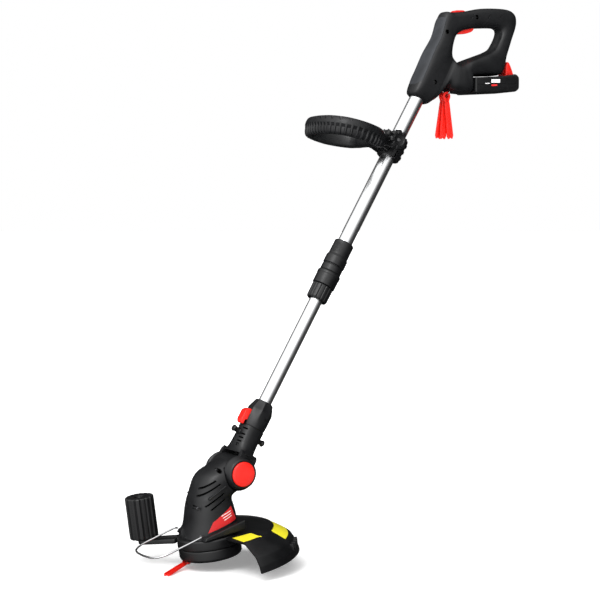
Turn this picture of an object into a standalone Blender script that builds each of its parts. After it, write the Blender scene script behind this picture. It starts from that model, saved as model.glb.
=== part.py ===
"""Cordless string trimmer with plastic blades, an assembly of separate pieces.

Lengths are in millimetres and MM turns them into metres. The pivot of the tilting head is the
reference point of three frames: the world-aligned body frame, the shaft frame (Z up the shaft,
X to the rear) and the head frame (Z up the spindle, X to the rear).
"""
import math

import bmesh
import bpy
from mathutils import Matrix, Vector

MM = 0.001

# Driving dimensions
GROUND_TO_PIVOT = 169.5
CENTRE_TO_PIVOT = -227.2
SHAFT_LEAN = math.radians(30.8)
HEAD_PITCH = math.radians(8.0)
GAP = 0.3

UPPER_TUBE_R = 14.0
LOWER_TUBE_R = 12.5
TUBE_WALL = 1.3
LOWER_TUBE = (92.0, 600.0)
UPPER_TUBE = (432.0, 905.0)
NUT_START = 351.0
RING_START = 381.0
SLEEVE_START = 409.3
SLEEVE_END = 472.0
CLAMP_CENTRE = 680.0
CLAMP_HALF = 22.0
CLAMP_BOLT_X = -21.0
COLLAR = (85.5, 138.0)

SPINDLE_X = -60.0
HUB_R = 30.0
BOSS_R = 32.0
BOSS_FACE = 48.0
BUTTON_R = 22.0
HOUSING_BOTTOM = -100.0
GUARD_TOP = -102.0
GUARD_BOTTOM = -149.5
GUARD_R = 158.0
GUARD_WALL = 3.0
CARRIER_R = 56.0
GUARD_COLLAR_R = 57.0
BLADE_TOP = -143.7
BLADE_THICK = 4.0
BLADE_REACH = 77.0
WIRE_R = 1.75
WIRE_PIVOT = (-98.0, -90.0)
WIRE_HALF = 52.0
WHEEL_AT = (-146.0, 85.0)
WHEEL_R = 26.0

CASE_WALL = 2.6
HOOK_AT = (469.0, 687.0)
SPARE_LENGTH = 82.0
SPARE_WIDTH = 17.5

for leftover in list(bpy.data.objects):
    bpy.data.objects.remove(leftover)


# ---------------------------------------------------------------- materials
def plastic(name, colour, roughness, metallic=0.0):
    """A Principled material of one finish."""
    material = bpy.data.materials.new(name)
    material.use_nodes = True
    shader = material.node_tree.nodes["Principled BSDF"]
    shader.inputs["Base Color"].default_value = (*colour, 1.0)
    shader.inputs["Roughness"].default_value = roughness
    shader.inputs["Metallic"].default_value = metallic
    material.diffuse_color = (*colour, 1.0)
    return material


CHARCOAL = ("charcoal", (0.035, 0.037, 0.040), 0.45, 0.0)
BLACK = ("black", (0.015, 0.015, 0.017), 0.5, 0.0)
RED = ("red", (0.75, 0.03, 0.015), 0.35, 0.0)
ALUMINIUM = ("aluminium", (0.78, 0.79, 0.80), 0.3, 1.0)
STEEL = ("steel", (0.62, 0.62, 0.63), 0.25, 1.0)
BRASS = ("brass", (0.72, 0.52, 0.22), 0.3, 1.0)
CELL = ("cell_wrap", (0.05, 0.22, 0.10), 0.4, 0.0)


# ---------------------------------------------------------------- frames
def frame(name, lean):
    """An empty at the head's pivot, turned about the lateral axis."""
    empty = bpy.data.objects.new(name, None)
    bpy.context.collection.objects.link(empty)
    empty.location = (CENTRE_TO_PIVOT * MM, 0.0, GROUND_TO_PIVOT * MM)
    empty.rotation_euler = (0.0, lean, 0.0)
    return empty


BODY = frame("body_frame", 0.0)
SHAFT = frame("shaft_frame", SHAFT_LEAN)
HEAD = frame("head_frame", -HEAD_PITCH)


# ---------------------------------------------------------------- mesh helpers
def loft(rings, closed=False):
    """Skin matching rings; open lofts get flat caps, closed lofts join last to first."""
    bm = bmesh.new()
    rows = [[bm.verts.new(point) for point in ring] for ring in rings]
    pairs = list(zip(rows, rows[1:]))
    if closed:
        pairs.append((rows[-1], rows[0]))
    count = len(rows[0])
    for lower, upper in pairs:
        for i in range(count):
            j = (i + 1) % count
            bm.faces.new((lower[i], lower[j], upper[j], upper[i]))
    if not closed:
        bm.faces.new(rows[0])
        bm.faces.new(rows[-1])
    bmesh.ops.recalc_face_normals(bm, faces=bm.faces)
    return bm


def turned(levels, segments=32, centre=(0.0, 0.0, 0.0), axis="z", hollow=False, flutes=0, flute_depth=0.0):
    """A turned solid of (radius, height) levels; a hollow one returns down its inside."""
    rings = []
    fluted_from = 0.8 * max(radius for radius, _ in levels)
    for radius, height in levels:
        ring = []
        depth = flute_depth if radius > fluted_from else 0.0
        for i in range(segments):
            angle = 2.0 * math.pi * i / segments
            dip = depth * max(0.0, math.cos(flutes * angle))
            x = (radius - dip) * math.cos(angle)
            y = (radius - dip) * math.sin(angle)
            if axis == "y":
                ring.append(Vector((centre[0] + x, centre[1] + height, centre[2] + y)))
            elif axis == "x":
                ring.append(Vector((centre[0] + height, centre[1] + x, centre[2] + y)))
            else:
                ring.append(Vector((centre[0] + x, centre[1] + y, centre[2] + height)))
        rings.append(ring)
    return loft(rings, closed=hollow)


def pipe(outer, inner, low, high, segments=28, centre=(0.0, 0.0, 0.0), axis="z"):
    """A straight tube."""
    levels = [(outer, low), (outer, high), (inner, high), (inner, low)]
    return turned(levels, segments, centre, axis, hollow=True)


def block(low, high, bevel=0.0):
    """A box between two corners, with its four vertical edges cut."""
    (x0, y0, z0), (x1, y1, z1) = low, high
    b = bevel
    if b:
        plan = [(x0 + b, y0), (x1 - b, y0), (x1, y0 + b), (x1, y1 - b),
                (x1 - b, y1), (x0 + b, y1), (x0, y1 - b), (x0, y0 + b)]
    else:
        plan = [(x0, y0), (x1, y0), (x1, y1), (x0, y1)]
    return loft([[Vector((x, y, z)) for x, y in plan] for z in (z0, z1)])


def offset(outline, inset):
    """The outline moved inwards; it runs anticlockwise seen with its second axis up."""
    count = len(outline)
    moved = []
    for i, (x, z) in enumerate(outline):
        before = Vector(outline[i - 1])
        after = Vector(outline[(i + 1) % count])
        here = Vector((x, z))
        first = (here - before).normalized()
        second = (after - here).normalized()
        normal = Vector((-first.y - second.y, first.x + second.x))
        scale = max(0.35, 1.0 + first.dot(second))
        moved.append(here + normal * inset / scale)
    return moved


def slab(outline, levels):
    """A plate whose outline stands in XZ, built across Y; levels are (y, inset)."""
    rings = []
    for y, inset in levels:
        rings.append([Vector((p[0], y, p[1])) for p in offset(outline, inset)])
    return loft(rings)


def plate(outline, low, high, edge):
    """A plate whose outline lies in XY, between two heights, with eased edges."""
    levels = [(low, edge), (low + edge, 0.0), (high - edge, 0.0), (high, edge)]
    return loft([[Vector((p[0], p[1], z)) for p in offset(outline, inset)] for z, inset in levels])


def spline(points, steps, closed=False):
    """Points of a Catmull-Rom curve through the given points."""
    count = len(points)
    spans = count if closed else count - 1
    out = []
    for i in range(spans):
        if closed:
            p = [Vector(points[(i + k - 1) % count]) for k in range(4)]
        else:
            p = [Vector(points[min(max(i + k - 1, 0), count - 1)]) for k in range(4)]
        for s in range(steps):
            t = s / steps
            out.append(0.5 * (2 * p[1] + (p[2] - p[0]) * t + (2 * p[0] - 5 * p[1] + 4 * p[2] - p[3]) * t * t
                              + (3 * p[1] - p[0] - 3 * p[2] + p[3]) * t ** 3))
    if not closed:
        out.append(Vector(points[-1]))
    return out


def sweep(path, half_wide, half_high, up, closed=False, segments=12, power=2.0):
    """A bar of superellipse section along a path; up is the section's height direction."""
    rings = []
    count = len(path)
    for i, point in enumerate(path):
        if closed:
            along = (path[(i + 1) % count] - path[i - 1]).normalized()
        else:
            along = (path[min(i + 1, count - 1)] - path[max(i - 1, 0)]).normalized()
        high = (up - along * up.dot(along)).normalized()
        wide = along.cross(high)
        wide_here = half_wide(i / count) if callable(half_wide) else half_wide
        high_here = half_high(i / count) if callable(half_high) else half_high
        ring = []
        for k in range(segments):
            angle = 2.0 * math.pi * (k + 0.5) / segments
            c = math.copysign(abs(math.cos(angle)) ** (2.0 / power), math.cos(angle))
            s = math.copysign(abs(math.sin(angle)) ** (2.0 / power), math.sin(angle))
            ring.append(point + wide * wide_here * c + high * high_here * s)
        rings.append(ring)
    return loft(rings, closed=closed)


def half_shell(stations, side, wall, steps=7, power=3.2):
    """Section rings of one clamshell half.

    Each station is (outer point, inner point, half width) with points as 3D vectors in the
    parting plane; the wall follows a half superellipse from the outer to the inner point.
    """
    rings = []
    for outer, inner, half in stations:
        across = inner - outer
        length = across.length
        unit = across / length
        ring = []
        for inset, order in ((0.0, range(steps + 1)), (wall, range(steps, -1, -1))):
            for k in order:
                angle = math.pi * k / steps
                c = math.copysign(abs(math.cos(angle)) ** (2.0 / power), math.cos(angle))
                s = max(0.0, math.sin(angle)) ** (2.0 / power)
                along = length / 2.0 - (length / 2.0 - inset) * c
                out = max(0.0, (half - inset - GAP / 2.0)) * s + GAP / 2.0
                ring.append(outer + unit * along + Vector((0.0, side * out, 0.0)))
        rings.append(ring)
    return rings


# ---------------------------------------------------------------- object helpers
def make(name, bm, finish, parent, origin=(0.0, 0.0, 0.0), sharp=40.0):
    """Turn a mesh in its frame's millimetres into an object with its own origin and material."""
    shift = Vector(origin)
    for vert in bm.verts:
        vert.co = (vert.co - shift) * MM
    mesh = bpy.data.meshes.new(name)
    bm.to_mesh(mesh)
    bm.free()
    mesh.shade_smooth()
    mesh.set_sharp_from_angle(angle=math.radians(sharp))
    label, colour, roughness, metallic = finish
    mesh.materials.append(plastic(name + "_" + label, colour, roughness, metallic))
    obj = bpy.data.objects.new(name, mesh)
    bpy.context.collection.objects.link(obj)
    obj.parent = parent
    obj.location = shift * MM
    return obj


def tool(name, bm, parent):
    """A hidden solid used only by a Boolean."""
    obj = make(name, bm, BLACK, parent)
    obj.hide_render = True
    obj.display_type = "WIRE"
    return obj


def boolean(obj, other, operation):
    """Add a Boolean of another object."""
    modifier = obj.modifiers.new(operation.lower() + "_" + other.name, "BOOLEAN")
    modifier.object = other
    modifier.operation = operation
    modifier.solver = "EXACT"


def screw(name, at, parent, axis="y", length=14.0, facing=-1.0, head_r=3.2):
    """A pan-head screw: its head looks towards facing along its axis."""
    levels = [(head_r, 0.0), (head_r, 2.2), (1.5, 2.2), (1.5, length)]
    levels = [(radius, -facing * height) for radius, height in levels]
    return make(name, turned(levels, 16, at, axis), STEEL, parent, at)


# ---------------------------------------------------------------- telescopic shaft
def shaft():
    """Upper and lower tubes with the telescopic clamp between them."""
    upper_bore = UPPER_TUBE_R - TUBE_WALL
    make("upper_tube", pipe(UPPER_TUBE_R, upper_bore, *UPPER_TUBE), ALUMINIUM, SHAFT)
    lower_bore = LOWER_TUBE_R - 0.2 - TUBE_WALL
    make("lower_tube", pipe(LOWER_TUBE_R - 0.2, lower_bore, *LOWER_TUBE), ALUMINIUM, SHAFT)

    bore = LOWER_TUBE_R + GAP
    seat = UPPER_TUBE_R + GAP
    step = UPPER_TUBE[0] - GAP
    sleeve = [(18.5, SLEEVE_END), (seat, SLEEVE_END), (seat, step), (16.6, step), (16.6, SLEEVE_START),
              (20.0, SLEEVE_START), (20.0, 421.0), (19.2, 421.8), (19.2, 422.6), (20.5, 423.4),
              (20.5, 440.0), (18.5, 443.0)]
    make("telescope_sleeve", turned(sleeve, 28, hollow=True), BLACK, SHAFT)
    collet = [(16.2, step - 0.6), (bore, step - 0.6), (bore, 384.0), (16.2, 384.0)]
    make("telescope_collet", turned(collet, 28, hollow=True), BLACK, SHAFT)
    ring = [(20.8, SLEEVE_START - GAP), (16.6, SLEEVE_START - GAP), (16.6, RING_START), (22.4, RING_START),
            (22.4, RING_START + 6.0)]
    make("telescope_ring", turned(ring, 28, hollow=True), BLACK, SHAFT)
    nut_top = RING_START - GAP
    nut = [(19.7, NUT_START + 2.0), (19.7, nut_top - 1.0), (18.8, nut_top), (bore, nut_top),
           (bore, NUT_START), (18.0, NUT_START)]
    make("clamp_nut", turned(nut, 48, hollow=True, flutes=16, flute_depth=0.9), BLACK, SHAFT)
    lead = [Vector((0.0, 0.0, 310.0)), Vector((0.0, 0.0, 890.0))]
    make("power_lead", sweep(lead, 3.0, 3.0, Vector((1.0, 0.0, 0.0)), segments=8), BLACK, SHAFT)


# ---------------------------------------------------------------- second handle
def clamp_half(name, side):
    """One half of the clamp around the upper tube; the front half carries the handle's pivot."""
    low = CLAMP_CENTRE - CLAMP_HALF
    high = CLAMP_CENTRE + CLAMP_HALF
    bore = UPPER_TUBE_R + GAP
    steps = 10
    reach = 22.0
    inner = []
    outer = []
    for k in range(steps + 1):
        angle = math.radians(-86.0 + 172.0 * k / steps)
        inner.append((side * bore * math.cos(angle), bore * math.sin(angle)))
        outer.append((side * reach * math.cos(angle), (reach + 1.0) * math.sin(angle)))
    plan = outer + inner[::-1]
    return make(name, loft([[Vector((x, y, z)) for x, y in plan] for z in (low, high)]), BLACK, SHAFT)


def second_handle():
    """Clamp, pivot bolt, star knob and the closed loop handle."""
    front = clamp_half("aux_clamp_front", -1.0)
    clamp_half("aux_clamp_rear", 1.0)
    low = CLAMP_CENTRE - CLAMP_HALF + 5.0
    high = CLAMP_CENTRE + CLAMP_HALF - 5.0
    boss = tool("clamp_boss", block((-36.0, -24.0, low), (-17.0, 24.0, high), 4.0), SHAFT)
    boolean(front, boss, "UNION")
    bolt_at = (CLAMP_BOLT_X - 4.0, 0.0, CLAMP_CENTRE)
    hole = tool("clamp_bolt_hole", turned([(3.3, -60.0), (3.3, 60.0)], 20, bolt_at, "y"), SHAFT)
    boolean(front, hole, "DIFFERENCE")

    bolt = [(3.0, -52.0), (3.0, 38.4), (6.0, 38.4), (6.0, 42.0)]
    make("aux_bolt", turned(bolt, 20, bolt_at, "y"), STEEL, SHAFT, bolt_at)
    knob = [(3.4, -41.0), (12.0, -41.0), (18.5, -44.0), (18.5, -53.0), (14.0, -56.0), (3.4, -56.0)]
    make("aux_knob", turned(knob, 48, bolt_at, "y", hollow=True, flutes=8, flute_depth=4.5), BLACK, SHAFT,
         bolt_at)
    loop_handle(bolt_at)


def loop_handle(bolt_at):
    """The closed loop: two ears on the bolt and a wide grip bar to the front."""
    rise = math.radians(14.0)
    lean = SHAFT_LEAN
    out = Vector((-math.cos(rise) * math.cos(lean) - math.sin(rise) * math.sin(lean), 0.0,
                  -math.cos(rise) * math.sin(lean) + math.sin(rise) * math.cos(lean)))
    up = Vector((out.z * -1.0, 0.0, out.x))
    if up.z < 0.0:
        up = -up
    centre = Vector(bolt_at)
    below = centre - up * 9.0
    plan = [(33.0, 18.0), (32.0, 34.0), (39.0, 50.0), (62.0, 65.0), (94.0, 71.0), (122.0, 62.0),
            (138.0, 39.0), (143.0, 14.0)]
    points = [below + out * q + Vector((0.0, y, 0.0)) for q, y in plan]
    mirrored = [below + out * q + Vector((0.0, -y, 0.0)) for q, y in reversed(plan)]
    path = spline(points + mirrored, 3, closed=True)

    def height(fraction):
        reach = abs(fraction - 0.5) * 2.0
        return 17.0 - 5.0 * min(1.0, max(0.0, (reach - 0.55) / 0.3))

    bar = sweep(path, 9.5, height, up, closed=True, segments=10, power=2.8)
    handle = make("aux_handle_loop", bar, CHARCOAL, SHAFT, bolt_at)
    for side, label in ((-1.0, "left"), (1.0, "right")):
        root = centre + out * 38.0 - up * 7.0
        ear = turned([(13.0, side * 25.0), (13.0, side * 37.5)], 20, bolt_at, "y")
        boolean(handle, tool("loop_ear_" + label, ear, SHAFT), "UNION")
        arm = [centre + Vector((0.0, side * 31.0, 0.0)), root + Vector((0.0, side * 31.0, 0.0))]
        strap = sweep(arm, 6.0, 11.0, up, segments=8, power=6.0)
        boolean(handle, tool("loop_strap_" + label, strap, SHAFT), "UNION")
    hole = tool("loop_bolt_hole", turned([(3.4, -60.0), (3.4, 60.0)], 20, bolt_at, "y"), SHAFT)
    boolean(handle, hole, "DIFFERENCE")


# ---------------------------------------------------------------- rear handle
OUTER = [(391, 699), (408, 731), (426, 766), (446, 798), (457, 832), (465, 845), (476, 845), (490, 846),
         (517, 850), (546, 856), (590, 859), (618, 857), (631, 848), (633, 831), (622, 800), (609, 766),
         (603, 745), (594, 731), (560, 727), (518, 722), (517, 694), (500, 691), (476, 695), (462, 704),
         (440, 680), (429, 673), (417, 668), (389, 685)]
INNER = [(479, 770), (479, 778), (481, 787), (485, 797), (491, 804), (500, 809), (508, 812), (516, 814),
         (530, 817), (549, 819), (580, 821), (589, 820), (595, 816), (595, 807), (588, 793), (579, 781),
         (566, 774), (550, 768), (530, 761), (514, 755), (502, 750), (493, 747), (486, 749), (482, 753),
         (480, 759), (479, 762), (479, 764), (479, 767)]
HALF = [23.0, 23.0, 22.0, 20.0, 19.0, 18.5, 18.0, 18.0,
        17.5, 17.5, 17.5, 17.5, 17.5, 17.5, 17.5, 19.0,
        22.0, 26.0, 28.0, 30.0, 32.0, 32.0, 30.0, 27.0,
        24.0, 23.0, 23.0, 23.0]
TRIGGER_HINGE = (492.0, 820.0)
LOCK_AT = (500.0, 848.0)
BATTERY_LOW = (519.0, -33.0, 690.5)
BATTERY_HIGH = (625.0, 33.0, 721.3)
HANDLE_SCREWS = ((461.0, -13.0, 806.0), (533.0, -13.0, 838.0), (431.0, -19.5, 709.0))
HANDLE_SCREW_LENGTH = (16.0, 16.0, 4.5)


def handle_shell(name, side):
    """One half of the loop handle with the tube socket, trigger slot and button slot cut in it."""
    outer = [Vector((x, 0.0, z)) for x, z in OUTER]
    inner = [Vector((x, 0.0, z)) for x, z in INNER]
    stations = list(zip(outer, inner, HALF))
    body = make(name, loft(half_shell(stations, side, CASE_WALL), closed=True), CHARCOAL, BODY)
    socket = turned([(UPPER_TUBE_R + GAP, 770.0), (UPPER_TUBE_R + GAP, 906.0)], 32)
    boolean(body, tool(name + "_socket", socket, SHAFT), "DIFFERENCE")
    slot = block((485.0, -6.4, 795.0), (541.0, 6.4, 824.0))
    boolean(body, tool(name + "_trigger_slot", slot, BODY), "DIFFERENCE")
    gate = block((LOCK_AT[0] - 14.6, -7.4, 834.0), (LOCK_AT[0] + 14.6, 7.4, 862.0))
    boolean(body, tool(name + "_lock_slot", gate, BODY), "DIFFERENCE")
    if side < 0.0:
        for i, (x, _, z) in enumerate(HANDLE_SCREWS):
            well = turned([(3.8, -40.0), (3.8, -6.0)], 16, (x, 0.0, z), "y")
            boolean(body, tool(name + "_screw_well_%d" % i, well, BODY), "DIFFERENCE")
    return body


def rear_handle():
    """Clamshells, trigger, lock-off button, switch, terminals and screws."""
    handle_shell("handle_shell_left", -1.0)
    handle_shell("handle_shell_right", 1.0)

    lever = [(490.0, 822.0), (487.5, 814.0), (489.0, 806.5), (497.0, 804.5), (516.0, 806.5), (531.0, 811.5),
             (537.0, 822.0)]
    make("trigger", slab(lever, [(-6.0, 1.2), (-4.8, 0.0), (4.8, 0.0), (6.0, 1.2)]), RED, BODY,
         (TRIGGER_HINGE[0], 0.0, TRIGGER_HINGE[1]))
    make("trigger_switch", block((503.0, -8.0, 824.5), (528.5, 8.0, 837.0)), BLACK, BODY)
    spring = turned([(2.0, 0.0), (2.0, 9.0)], 12, (539.4, 0.0, 822.5))
    make("trigger_spring", spring, STEEL, BODY)
    key = [(LOCK_AT[0] - 14.0, 841.0), (LOCK_AT[0] + 14.0, 841.0), (LOCK_AT[0] + 14.0, 848.5),
           (LOCK_AT[0] + 8.0, 850.8), (LOCK_AT[0] - 9.0, 849.8), (LOCK_AT[0] - 14.0, 847.2)]
    make("lock_off_button", slab(key, [(-7.0, 1.0), (-6.0, 0.0), (6.0, 0.0), (7.0, 1.0)]), RED, BODY,
         (LOCK_AT[0], 0.0, 841.0))
    for i, at in enumerate(HANDLE_SCREWS):
        screw("handle_screw_%d" % (i + 1), at, BODY, length=HANDLE_SCREW_LENGTH[i])
    make("battery_terminal_block", block((504.0, -14.0, 702.0), (514.0, 14.0, 716.0)), BLACK, BODY)


def battery():
    """The pack that slides on below the lower bar, with its release button and cells."""
    (x0, y0, z0), (x1, y1, z1) = BATTERY_LOW, BATTERY_HIGH
    side = [(x0, z0), (x1 - 8.0, z0 + 7.0), (x1, z0 + 13.0), (x1, z1 + 5.0), (x1 - 8.0, z1 + 11.0),
            (x1 - 19.5, z1 + 7.0), (x0 + 60.0, z1 + 2.4), (x0 + 8.0, z1 - 1.0), (x0, z1 - 1.0)]
    levels = [(y0, 4.0), (y0 + 4.0, 0.0), (y1 - 4.0, 0.0), (y1, 4.0)]
    case = make("battery_case", slab(side, levels), CHARCOAL, BODY)
    cavity = block((x0 + 3.0, y0 + 4.0, z0 + 9.5), (x1 - 6.0, y1 - 4.0, z1 - 4.0))
    boolean(case, tool("battery_cavity", cavity, BODY), "DIFFERENCE")
    vent = block((x0 - 2.0, -12.0, z0 + 12.0), (x0 + 4.0, 12.0, z0 + 20.0))
    boolean(case, tool("battery_terminal_slot", vent, BODY), "DIFFERENCE")
    pocket = block((x1 - 22.0, -13.4, z1 - 4.6), (x1 + 2.0, 13.4, z1 + 16.0))
    boolean(case, tool("battery_button_pocket", pocket, BODY), "DIFFERENCE")
    cells = block((x0 + 5.0, y0 + 6.0, z0 + 10.5), (x1 - 8.0, y1 - 6.0, z1 - 5.0), 4.0)
    make("battery_cells", cells, CELL, BODY)
    key = [(x1 - 21.4, z1 - 1.0), (x1 - 4.0, z1 - 1.0), (x1 - 1.5, z1 + 9.0), (x1 - 8.0, z1 + 24.0),
           (x1 - 13.0, z1 + 32.0), (x1 - 18.0, z1 + 33.0), (x1 - 20.4, z1 + 26.0)]
    make("battery_release_button", slab(key, [(-13.0, 2.0), (-11.0, 0.0), (11.0, 0.0), (13.0, 2.0)]), RED,
         BODY, (x1 - 12.0, 0.0, z1))


def blade_mesh(thick, length, centre, width=16.0):
    """Keyhole-headed plastic blade in XY, its head at the centre and its tip towards -X."""
    r = width / 2.0
    head = [(centre[0] + r * math.cos(a), centre[1] + r * math.sin(a))
            for a in [math.radians(d) for d in range(-130, 131, 20)]]
    tail = [(centre[0] - r * 1.5, centre[1] + r * 0.62), (centre[0] - length + 6.0, centre[1] + r * 0.80),
            (centre[0] - length, centre[1] + r * 0.45), (centre[0] - length + 2.0, centre[1]),
            (centre[0] - length, centre[1] - r * 0.45), (centre[0] - length + 6.0, centre[1] - r * 0.80),
            (centre[0] - r * 1.5, centre[1] - r * 0.62)]
    return plate(head + tail, centre[2] - thick, centre[2], 0.5)


def spare_blades():
    """Three spare blades hanging from a steel hook under the handle."""
    x, z = HOOK_AT
    bends = [(3.0, 9.0, 9.6), (2.0, 12.5, 6.5), (0.7, 12.5, 3.0), (0.0, 6.0, 0.0)]
    wire = [Vector((x + dx, -y, z + dz)) for dx, y, dz in bends]
    wire += [Vector((x + dx, y, z + dz)) for dx, y, dz in reversed(bends)]
    hook = sweep(spline(wire, 3), 1.1, 1.1, Vector((1.0, 0.0, 0.1)), segments=6)
    make("blade_hook", hook, STEEL, BODY)
    for i, (y, swing) in enumerate(((-5.2, -7.0), (0.0, 3.0), (5.2, 8.0))):
        bm = blade_mesh(3.6, SPARE_LENGTH, (0.0, 0.0, 1.8), SPARE_WIDTH)
        stand = Matrix.Rotation(math.radians(swing), 4, "Y") @ Matrix.Rotation(math.radians(-90.0), 4, "Y")
        lay = Matrix.Rotation(math.radians(90.0), 4, "X")
        place = Matrix.Translation(Vector((x, y, z - 2.2)))
        bmesh.ops.transform(bm, matrix=place @ stand @ lay, verts=bm.verts)
        blade = make("spare_blade_%d" % (i + 1), bm, RED, BODY, (x, y, z))
        eye = turned([(3.9, -2.6), (3.9, 2.6)], 20, (x, y, z - 2.2), "y")
        boolean(blade, tool("spare_eye_%d" % (i + 1), eye, BODY), "DIFFERENCE")


# ---------------------------------------------------------------- rotation collar and neck
def collar_half(name, side):
    """One half of the collar fixed on the lower tube's end."""
    low, high = COLLAR
    bore = LOWER_TUBE_R + 0.1
    rings = []
    for z, reach in ((low, 22.0), (low + 3.0, 23.5), (high - 20.0, 23.5), (high - 13.0, 21.5), (high, 17.0)):
        ring = []
        for radius, order in ((reach, range(11)), (bore, range(10, -1, -1))):
            for k in order:
                angle = math.pi * k / 10
                across = radius * math.sin(angle) + GAP / 2.0
                ring.append(Vector((radius * math.cos(angle), side * across, z)))
        rings.append(ring)
    return make(name, loft(rings), CHARCOAL, SHAFT)


def neck_half(name, side):
    """One half of the neck: a tapering tube above and a cheek with a round boss below."""
    rings = []
    for z, back, half in ((33.0, 17.0, 44.0), (38.0, 18.0, 35.0), (43.0, 19.0, 29.0), (50.0, 20.0, 25.0),
                          (62.0, 20.5, 23.0), (75.0, 21.0, 22.0), (COLLAR[0] - GAP, 21.5, 21.5)):
        ring = []
        for inset, order in ((0.0, range(9)), (8.0, range(8, -1, -1))):
            for k in order:
                angle = math.pi * k / 8
                c = math.copysign(abs(math.cos(angle)) ** 0.75, math.cos(angle))
                s = max(0.0, math.sin(angle)) ** 0.75
                ring.append(Vector(((back - inset) * c, side * ((half - inset) * s + GAP / 2.0), z)))
        rings.append(ring)
    body = make(name, loft(rings), CHARCOAL, SHAFT)
    boss = [(BOSS_R - 3.0, side * 30.2), (BOSS_R, side * 32.5), (BOSS_R - 1.0, side * 36.0),
            (BOSS_R - 5.5, side * (BOSS_FACE - 1.5)), (BOSS_R - 7.5, side * BOSS_FACE)]
    boolean(body, tool(name + "_boss", turned(boss, 32, axis="y"), SHAFT), "UNION")
    cheek = []
    for z, out in ((2.0, 41.0), (33.0, 39.0), (39.0, 34.0)):
        corners = ((-17.0, 30.3), (17.0, 30.3), (17.0, out), (-17.0, out))
        cheek.append([Vector((x, side * y, z)) for x, y in corners])
    boolean(body, tool(name + "_cheek", loft(cheek), SHAFT), "UNION")
    well = turned([(BUTTON_R + 0.5, side * 38.0), (BUTTON_R + 0.5, side * 60.0)], 32, axis="y")
    boolean(body, tool(name + "_button_well", well, SHAFT), "DIFFERENCE")
    bore = turned([(6.4, side * 20.0), (6.4, side * 60.0)], 24, axis="y")
    boolean(body, tool(name + "_axle_bore", bore, SHAFT), "DIFFERENCE")
    return body


def neck():
    """Collar, rotation slider, neck, blade pegs, spigot and the tilt axle with its buttons."""
    collar_half("collar_shell_left", -1.0)
    collar_half("collar_shell_right", 1.0)
    for name in ("collar_shell_left", "collar_shell_right"):
        slot = tool(name + "_slider_slot", block((-30.0, -9.0, COLLAR[0] - 1.0), (-20.0, 9.0, 121.0)), SHAFT)
        boolean(bpy.data.objects[name], slot, "DIFFERENCE")
    slide = [(-20.6, 93.0), (-20.6, 114.0), (-26.0, 114.0), (-32.0, 108.0), (-32.0, 89.0), (-28.5, 83.5),
             (-24.3, 83.5), (-24.3, 93.0)]
    make("rotation_slider", slab(slide, [(-8.5, 1.2), (-7.3, 0.0), (7.3, 0.0), (8.5, 1.2)]), RED, SHAFT,
         (-24.0, 0.0, 101.0))
    neck_half("neck_shell_left", -1.0)
    neck_half("neck_shell_right", 1.0)
    make("neck_spigot", pipe(10.4, 6.0, 52.0, 130.0), BLACK, SHAFT)
    for name, x, z, facing in (("blade_peg_front", -20.8, 70.0, -1.0), ("blade_peg_rear", 20.9, 71.0, 1.0)):
        peg = [(5.0, 0.6), (5.0, 9.0), (6.0, 11.5), (6.0, 13.5), (4.4, 15.0)]
        peg = [(radius, facing * length) for radius, length in peg]
        make(name, turned(peg, 20, (x, 0.0, z), "x"), BLACK, SHAFT, (x, 0.0, z))

    make("tilt_axle", turned([(6.0, -37.0), (6.0, 37.0)], 28, axis="y"), STEEL, SHAFT)
    for side, label in ((-1.0, "left"), (1.0, "right")):
        cap = [(9.8, 47.8), (9.8, 43.4), (BUTTON_R, 43.4), (BUTTON_R, 49.0), (BUTTON_R - 2.0, 51.2),
               (BUTTON_R - 8.0, 52.6), (BUTTON_R - 16.0, 53.0)]
        cap = [(radius, side * out) for radius, out in cap]
        make("tilt_button_" + label, turned(cap, 32, axis="y"), RED, SHAFT, (0.0, side * 45.0, 0.0))
        coil = [(9.0, side * 38.4), (9.0, side * 43.0), (7.0, side * 43.0), (7.0, side * 38.4)]
        make("tilt_spring_" + label, turned(coil, 24, axis="y", hollow=True), STEEL, SHAFT)


# ---------------------------------------------------------------- motor head
HOUSING = [(HOUSING_BOTTOM, 12.0, 107.0, 47.0), (-88.0, 10.5, 102.0, 47.0), (-74.0, 10.0, 97.0, 46.0),
           (-56.0, 12.0, 92.5, 44.0), (-44.0, 14.0, 89.0, 42.0), (-37.0, 12.0, 86.5, 41.0),
           (-33.0, 6.0, 85.0, 41.0), (-26.0, -13.0, 82.0, 41.0), (-15.0, -25.0, 77.0, 41.0),
           (-4.0, -29.0, 71.0, 41.0), (6.0, -29.0, 62.0, 38.5), (13.0, -26.5, 49.0, 34.0),
           (20.0, -21.5, 32.0, 29.0), (26.0, -14.0, 14.0, 22.0)]
HOUSING_SCREWS = ((-38.0, 12.0), (-90.0, -44.0))


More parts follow.
